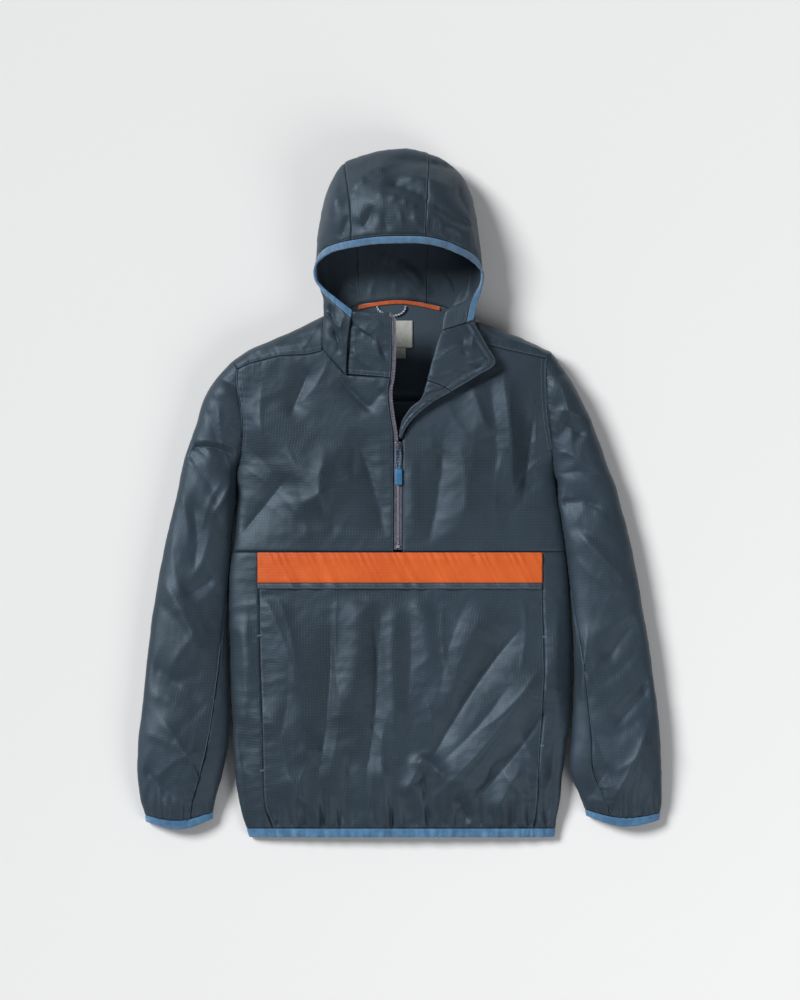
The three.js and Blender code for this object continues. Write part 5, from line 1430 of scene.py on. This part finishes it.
def faced(cloth, seed):
    """The facing along a turned edge: a stitched valley at its inner side, and puckers across it."""
    wide = FACING["wide"] * lerp(0.55, 1, smooth(cloth.north / 60))
    valley = FACING["valley"] * np.exp(-(((cloth.south - wide) / FACING["half"]) ** 2))
    across = hump(np.clip(cloth.south / wide, 0, 1))
    pucker = uneven(2 * math.pi * cloth.west / FACING["period"], seed)
    cloth.raise_by(FACING["pucker"] * across * pucker - valley)
    return cloth


cloth = turned_sheet(0, TURNED_COLLAR_ROW, 60)
cloth = faced(dress(cloth, seams="nes", pucker="es", wrinkle=0.7, cell=20, seed=21.0), 1.4)
panel("turned front", cloth, "front_turned_right")
cloth = turned_sheet(TURNED_COLLAR_ROW, 8, 60)
cloth = faced(dress(cloth, pucker="ew", wrinkle=0.9, cell=22, seed=22.0), 3.2)
panel("right collar", cloth, "collar_right")

# Flap: the orange band and the grey strip below it, lying on the pocket panel
FLAP = {"left": -206, "right": 207, "band_low": -130, "strip_low": -139, "lift": 2.1}
PLEATS = {"seed": 0.4, "wide": 6.5, "high": 1.5, "fine_wide": 2.1, "fine_high": 0.8, "run": 20, "least": -1.3}


def stitched_dip(y, at):
    return np.exp(-(((y - at) / 3) ** 2))


def flap_sheet(high_y, low_y):
    """A strip of the flap, with slanting pleats that fade away from its upper seam."""
    u, v = grid_shares(190, max(4, round((high_y - low_y) / 2)))
    y = lerp(low_y, high_y, v)
    x = lerp(FLAP["left"], FLAP["right"], u)
    free = smooth((FLAP_SEAM_Y - 20 - y) / 34)
    slant = x + 0.5 * (y - FLAP_SEAM_Y)
    pleats = hump(np.clip((FLAP_SEAM_Y - y) / PLEATS["run"], 0, 1)) + 0.35
    wave = PLEATS["high"] * free * uneven(slant / PLEATS["wide"], PLEATS["seed"])
    wave += PLEATS["fine_high"] * pleats * uneven(slant / PLEATS["fine_wide"], PLEATS["seed"] + 1)
    stitched = 0.5 * stitched_dip(y, FLAP["band_low"]) + 0.4 * stitched_dip(y, FLAP_SEAM_Y - 4)
    z = front_z(x, y) + FLAP["lift"] + 0.6 * free + np.maximum(wave, PLEATS["least"]) - stitched
    return Cloth(xyz(x, y, z))


band = flap_sheet(FLAP_SEAM_Y - 1, FLAP["band_low"])
band.raise_by(0.3 * crumple(band.points[..., 0], band.points[..., 1], 17) * smooth(band.north / 5))
bring_in(band, "s")
panel("flap band", band, "flap_band", face=orange, slot="orange_cloth")
strip = flap_sheet(FLAP["band_low"], FLAP["strip_low"])
bring_in(strip, "n")
panel("flap strip", strip, "flap_strip", face=grey_band, slot="grey_strip")


# Tapes of the zip, and its teeth
TAPE = {"low_y": -82, "top_y": 261, "closed_y": 74, "wide": 4.7, "sunk": 0.8, "slot": 0.5}


def open_edge_z(y):
    low = height_at(-13, NECK_LEFT_ZIP_Y)
    rise = (y - NECK_LEFT_ZIP_Y) / (COLLAR_TOP_Y - NECK_LEFT_ZIP_Y)
    return np.where(y > NECK_LEFT_ZIP_Y, lerp(low, 80, rise), front_z(left_zip_edge(y), y))


def left_tape_inner(y):
    return lerp(ZIP_X - TAPE["slot"], left_zip_edge(y) + SEAM_GAP + TAPE["wide"], smooth((y - 72) / 20))


def tape(name, west_x, east_x, high_y, height, node_name):
    u, v = grid_shares(4, round((high_y - TAPE["low_y"]) / 3))
    y = lerp(TAPE["low_y"], high_y, v)
    x = lerp(west_x(y), east_x(y), u)
    z = height(x, y) - TAPE["sunk"] + 0.25 * uneven(y / 5) * smooth((y - 80) / 30)
    panel(name, Cloth(xyz(x, y, z)), node_name, face=tape_grey, slot="zip_tape")


tape(
    "left zip tape", lambda y: left_zip_edge(y) + SEAM_GAP, left_tape_inner, TAPE["top_y"],
    lambda x, y: open_edge_z(y), "zip_tape_left",
)
tape(
    "right zip tape", lambda y: ZIP_X + TAPE["slot"] + 0 * y, lambda y: CLOSED_RIGHT_X - SEAM_GAP + 0 * y,
    TAPE["closed_y"], front_z, "zip_tape_right",
)


def add_block(bm, middle, size, turn=0.0, pitch=0.0):
    turned = Matrix.Rotation(turn, 4, "Z") @ Matrix.Rotation(-pitch, 4, "Y")
    at = Matrix.Translation(Vector(middle) * MM) @ turned
    scale = Matrix.Diagonal((*[side * MM for side in size], 1))
    bmesh.ops.create_cube(bm, size=1, matrix=at @ scale)


def repeat(name, places, size, material, slot, turns=None, bevel=0.0, body="garment"):
    """One small block at each place, in one mesh."""
    bm = bmesh.new()
    for k, place in enumerate(places):
        add_block(bm, place, size, *(turns[k] if turns else ()))
    if bevel:
        soften(bm, list(bm.edges), bevel, 1)
    mark(make_object(name, bm, [material], smooth_faces=False), slot, body=body)


SLIDER = {"y0": 58, "y1": 75, "half": 4.2, "thick": 2.6, "level_y": 66, "sunk": 0.4}
TOOTH = {"pitch": 2.2, "closed": (2.7, 0.95, 1.4), "open": (2.9, 1.0, 1.3), "aside": 0.55, "bevel": 0.22}
closed = [
    (ZIP_X + (TOOTH["aside"] if k % 2 else -TOOTH["aside"]), y, height_at(ZIP_X, y) + 0.15)
    for k, y in enumerate(np.arange(TAPE["low_y"] + 8, SLIDER["y0"] - 1, TOOTH["pitch"] / 2))
]
opened = [
    (float(left_tape_inner(y)) - 0.5, y, float(open_edge_z(y)) + 0.1)
    for y in np.arange(SLIDER["y1"] + 2, TAPE["top_y"] - 2, TOOTH["pitch"])
]
for name, places in (("closed", closed), ("open", opened)):
    repeat(f"{name} zip teeth", places, TOOTH[name], teeth_plastic, "zip_plastic", bevel=TOOTH["bevel"])


# Rows of stitches along the seams
STITCH = {"long": 2.3, "gap": 0.9, "wide": 0.42, "high": 0.3, "lift": 0.12}


def stitch(name, piece, rim, inset, material, first=0.0, last=1.0):
    """Stitches end to end along part of a line inside a rim, each turned and tipped with it."""
    line = sewn[piece].rim(rim, inset)
    ends = [round(share * (len(line) - 1)) for share in (first, last)]
    line = line[ends[0] : ends[1] + 1]
    run = run_of(line)
    step = STITCH["long"] + STITCH["gap"]
    places, turns = [], []
    for start in np.arange(0.5, run[-1] - step, step):
        ends = (start, start + STITCH["long"])
        a, b = (np.array([np.interp(end, run, line[:, n]) for n in range(3)]) for end in ends)
        way = b - a
        places.append((a + b) / 2 + (0, 0, STITCH["lift"]))
        turns.append((math.atan2(way[1], way[0]), math.atan2(way[2], math.hypot(way[0], way[1]))))
    repeat(name, places, (STITCH["long"], STITCH["wide"], STITCH["high"]), material, "shell_cloth", turns)


# Piece, rim, how far inside it, and from and to which share of the rim where it isn't all of it
TOPSTITCH = [
    ("left front", "west", 2.2, 0.5, 1.0),
    ("left front", "west", 7.5, 0.5, 1.0),
    ("right front", "east", 2.2, 0.5, 1.0),
    ("right front", "east", 7.5, 0.5, 1.0),
    ("left front", "east", 2.0),
    ("right front", "west", 2.0, 0.0, 0.5),
    ("left yoke", "south", 2.0),
    ("left yoke", "south", 7.0),
    ("right yoke", "south", 2.0),
    ("left collar", "south", 2.0),
    ("left collar", "south", 7.0),
    ("left collar", "east", 2.2),
    ("pocket panel", "west", 2.2, 0.0, 0.98),
    ("pocket panel", "east", 2.2, 0.0, 0.98),
    ("hood centre", "west", 2.2),
    ("hood centre", "east", 2.2),
    ("hood left", "south", 1.6),
    ("hood right", "south", 1.6),
    ("hood centre", "south", 1.6),
    ("right collar", "south", 2.2),
    ("right collar", "south", 11.0),
    ("right collar", "south", 14.0),
    ("turned front", "south", 2.2),
    ("turned front", "south", 11.0, 0.5, 1.0),
    ("turned front", "south", 14.0, 0.6, 1.0),
    ("right collar", "west", 2.0, 0.0, 0.6),
    ("turned front", "east", 2.0, 0.0, 0.6),
]
for k, (piece, rim, inset, *span) in enumerate(TOPSTITCH):
    stitch(f"topstitch {k + 1}", piece, rim, inset, thread_slate, *span)
for k, (rim, inset) in enumerate([("north", 3.0), ("south", 2.0)]):
    stitch(f"flap stitch {k + 1}", "flap band", rim, inset, thread_orange)
for k, inset in enumerate((2.0, 6.6)):
    stitch(f"strip stitch {k + 1}", "flap strip", "south", inset, thread_slate)


# Slider, stop and pull
def rounded_block(name, low, high, corner, material, bevel, node_name, body="garment", slot="zip_metal"):
    """A block between two corners, its upright edges rounded, then all its edges softened."""
    bm = bmesh.new()
    size = [b - a for a, b in zip(low, high)]
    add_block(bm, [(a + b) / 2 for a, b in zip(low, high)], size)
    upright = [e for e in bm.edges if abs(e.verts[0].co.z - e.verts[1].co.z) > size[2] * MM / 2]
    soften(bm, upright, corner, 5)
    soften(bm, sharp_edges(bm, 0.7), bevel, 3)
    mark(make_object(name, bm, [material]), slot, node_name, body=body)


slider_z = plain_at(ZIP_X, SLIDER["level_y"]) - SLIDER["sunk"]
arch_foot = slider_z + SLIDER["thick"]
rounded_block(
    "zip slider",
    (ZIP_X - SLIDER["half"], SLIDER["y0"], slider_z),
    (ZIP_X + SLIDER["half"], SLIDER["y1"], arch_foot),
    2.0, slider_metal, 0.6, "zip_slider",
)
ARCH_UP = [(60.5, -0.3), (60.6, 2.6), (61.8, 3.9), (64, 4.1)]
ARCH_DOWN = [(69.5, 4.1), (71.9, 3.7), (72.6, 2.2), (72.6, -0.3)]


def bar(name, path, half, thick, material, slot):
    """A flat bar bent along a path of (y, z) at the zip's middle."""
    line = curve([(ZIP_X, y, arch_foot + z) for y, z in path], np.linspace(0, 1, 30))
    across = np.array([1.0, 0, 0])
    up = np.cross(across, unit(np.gradient(line, axis=0)))
    section = [(-half, 0), (half, 0), (half, -thick), (-half, -thick), (-half, 0)]
    bm = grid_mesh(4, len(line) - 1, lambda k, i: line[i] + across * section[k][0] + up[i] * section[k][1])
    close_up(bm)
    soften(bm, sharp_edges(bm, 0.9), 0.3, 2)
    mark(make_object(name, bm, [material]), slot)


bar("slider arch", ARCH_UP + ARCH_DOWN, 1.5, 1.2, slider_metal, "zip_metal")
STOP_Y = -77
stop_z = height_at(ZIP_X, STOP_Y) - 0.45
rounded_block(
    "zip stop", (ZIP_X - 2.5, STOP_Y - 2, stop_z), (ZIP_X + 2.5, STOP_Y + 2, stop_z + 1.9),
    0.6, teeth_plastic, 0.35, "zip_stop", slot="zip_plastic",
)


CORD_SIDES = 12


def cord(name, knots, count, diameter, material, node_name, body):
    """A cord of three strands along a curve: its cut map runs round it and, in metres, along it."""
    line = curve(knots, np.linspace(0, 1, count))
    way = unit(np.gradient(line, axis=0))
    side = unit(np.cross(way, np.array([0, 0, 1.0])))
    up = np.cross(side, way)
    run = run_of(line)

    def skin(k, i):
        turn = 2 * math.pi * k / CORD_SIDES
        twist = 1 + 0.1 * math.cos(3 * turn + run[i] * 1.5)
        return line[i] + (side[i] * math.cos(turn) + up[i] * math.sin(turn)) * diameter / 2 * twist

    bm = grid_mesh(CORD_SIDES, count - 1, skin, lambda k, i: (k / CORD_SIDES, run[i] * MM))
    close_up(bm)
    mark(make_object(name, bm, [material]), "pale_cord", node_name, body=body)


PULL_CORD = 1.9
pivot_y, pivot_z = 64.4, arch_foot + 1.55
GRIP = {"y0": 12, "y1": 36, "half": 5.2, "thick": 4.4}
cord_z = plain_at(ZIP_X, 45) + 2.4
cord_half = [
    (1.6, GRIP["y1"] + SEAM_GAP, cord_z),
    (3.1, 46, cord_z),
    (3.1, pivot_y - 3.4, pivot_z + 0.6),
    (2.2, pivot_y - 0.3, pivot_z),
]
cord_knots = [(ZIP_X - x, y, z) for x, y, z in cord_half] + [(ZIP_X + x, y, z) for x, y, z in cord_half[::-1]]
cord("pull cord", cord_knots, 90, PULL_CORD, cord_blue, "pull_cord", "pull")
grip_z = plain_at(ZIP_X, 24) + 0.5
grip_low = (ZIP_X - GRIP["half"] + 1, GRIP["y0"], grip_z)
grip_high = (ZIP_X + GRIP["half"] + 1, GRIP["y1"], grip_z + GRIP["thick"])
rounded_block("pull grip", grip_low, grip_high, 2.6, grip_blue, 1.2, "pull_grip", "pull", "blue_grip")
rib_middle = (grip_low[0] + grip_high[0]) / 2
ribs = [(rib_middle, y, grip_high[2] + 0.05) for y in np.arange(GRIP["y0"] + 5, GRIP["y1"] - 6, 2.6)]
repeat("grip ribs", ribs, (6.4, 1.1, 0.7), grip_blue, "blue_grip", bevel=0.25, body="pull")

# Inside the neck: tape over the back neck seam, hang loop and two plain labels
INNER_FACE = 1.9
tape_knots = [(-60, 270, 0), (-28, 276, 0), (0, 278, 0), (30, 274.5, 0), (59, 268, 0)]
tape_line = evenly(tape_knots, np.linspace(0, 1, 60))
points = np.stack([tape_line + (0, side * 5.5, 0) for side in np.linspace(-0.5, 0.5, 5)])
points[..., 2] = INNER_FACE + 1.2 + 0.25 * uneven(points[..., 0] / 5)
panel("neck tape", Cloth(points), "neck_tape", face=tape_orange, slot="orange_cloth")
HANG_CORD = 3
loop_z = INNER_FACE + HANG_CORD / 2
hang_knots = [(-33, 271.6), (-30, 266), (-20, 260), (-8, 258), (3, 261.5), (8, 267), (9, 272)]
hang_knots = [(x, y, loop_z) for x, y in hang_knots]
cord("hang loop", hang_knots, 80, HANG_CORD, cord_mixed, "hang_loop", "garment")
for name, node_name, low, high in (
    ("main label", "label_main", (-14, 211), (19, 251)),
    ("small label", "label_small", (-14, 196), (9, 210.7)),
):
    u, v = grid_shares(14, 16)
    x, y = lerp(low[0], high[0], u), lerp(low[1], high[1], v)
    z = INNER_FACE + 0.8 + 0.3 * hump(v) * np.sin(2.2 * u + 0.4)
    panel(name, Cloth(xyz(x, y, z)), node_name, face=label_white, slot="label")


# Hand-pocket slits beside the pocket panel, with a bar tack at each end
TACK = {"turn": 0.1, "step": 0.7, "size": (0.45, 2.6, 0.5), "lift": 0.35}
TACK_PLACES = [(-202.5, -206), (-198.5, -402), (209, -208), (205, -366)]
tack_x, tack_y = TACK["step"] * math.cos(TACK["turn"]), TACK["step"] * math.sin(TACK["turn"])
for number, (x, y) in enumerate(TACK_PLACES):
    z = height_at(x, y) + TACK["lift"]
    places = [(x + k * tack_x, y + k * tack_y, z) for k in range(-6, 7)]
    turns = [(TACK["turn"], 0.0)] * len(places)
    repeat(f"bar tack {number + 1}", places, TACK["size"], thread_slate, "shell_cloth", turns)


# Floor and light
def floor():
    bm = bmesh.new()
    bmesh.ops.create_grid(bm, x_segments=1, y_segments=1, size=6)
    material, tree, shader = finish_of("pale floor", Roughness=0.9)
    pale = mottled(tree, rgb(224, 224, 224), rgb(227, 227, 227), 0.8, detail=1.0, low=0, high=1)
    tree.links.new(pale, shader.inputs["Base Color"])
    make_object("floor", bm, [material], smooth_faces=False)


floor()


def add_light(name, kind, energy, place, target, **settings):
    light = bpy.data.lights.new(name, kind)
    light.energy = energy
    for key, value in settings.items():
        setattr(light, key, value)
    lamp = bpy.data.objects.new(name, light)
    lamp.location = place
    lamp.rotation_euler = (Vector(target) - Vector(place)).to_track_quat("-Z", "Y").to_euler()
    bpy.context.collection.objects.link(lamp)


add_light("key light", "SUN", 3.6, (-1.0, 0.62, 1.05), (0, 0, 0), angle=math.radians(22))
add_light("fill light", "AREA", 90, (3.2, -3.0, 3.4), (0.3, -0.5, 0), shape="DISK", size=3.4)
world = bpy.data.worlds.new("studio")
world.use_nodes = True
world.node_tree.nodes["Background"].inputs["Color"].default_value = (0.93, 0.96, 1, 1)
world.node_tree.nodes["Background"].inputs["Strength"].default_value = 0.19
bpy.context.scene.world = world
bpy.context.scene.view_settings.view_transform = "Standard"
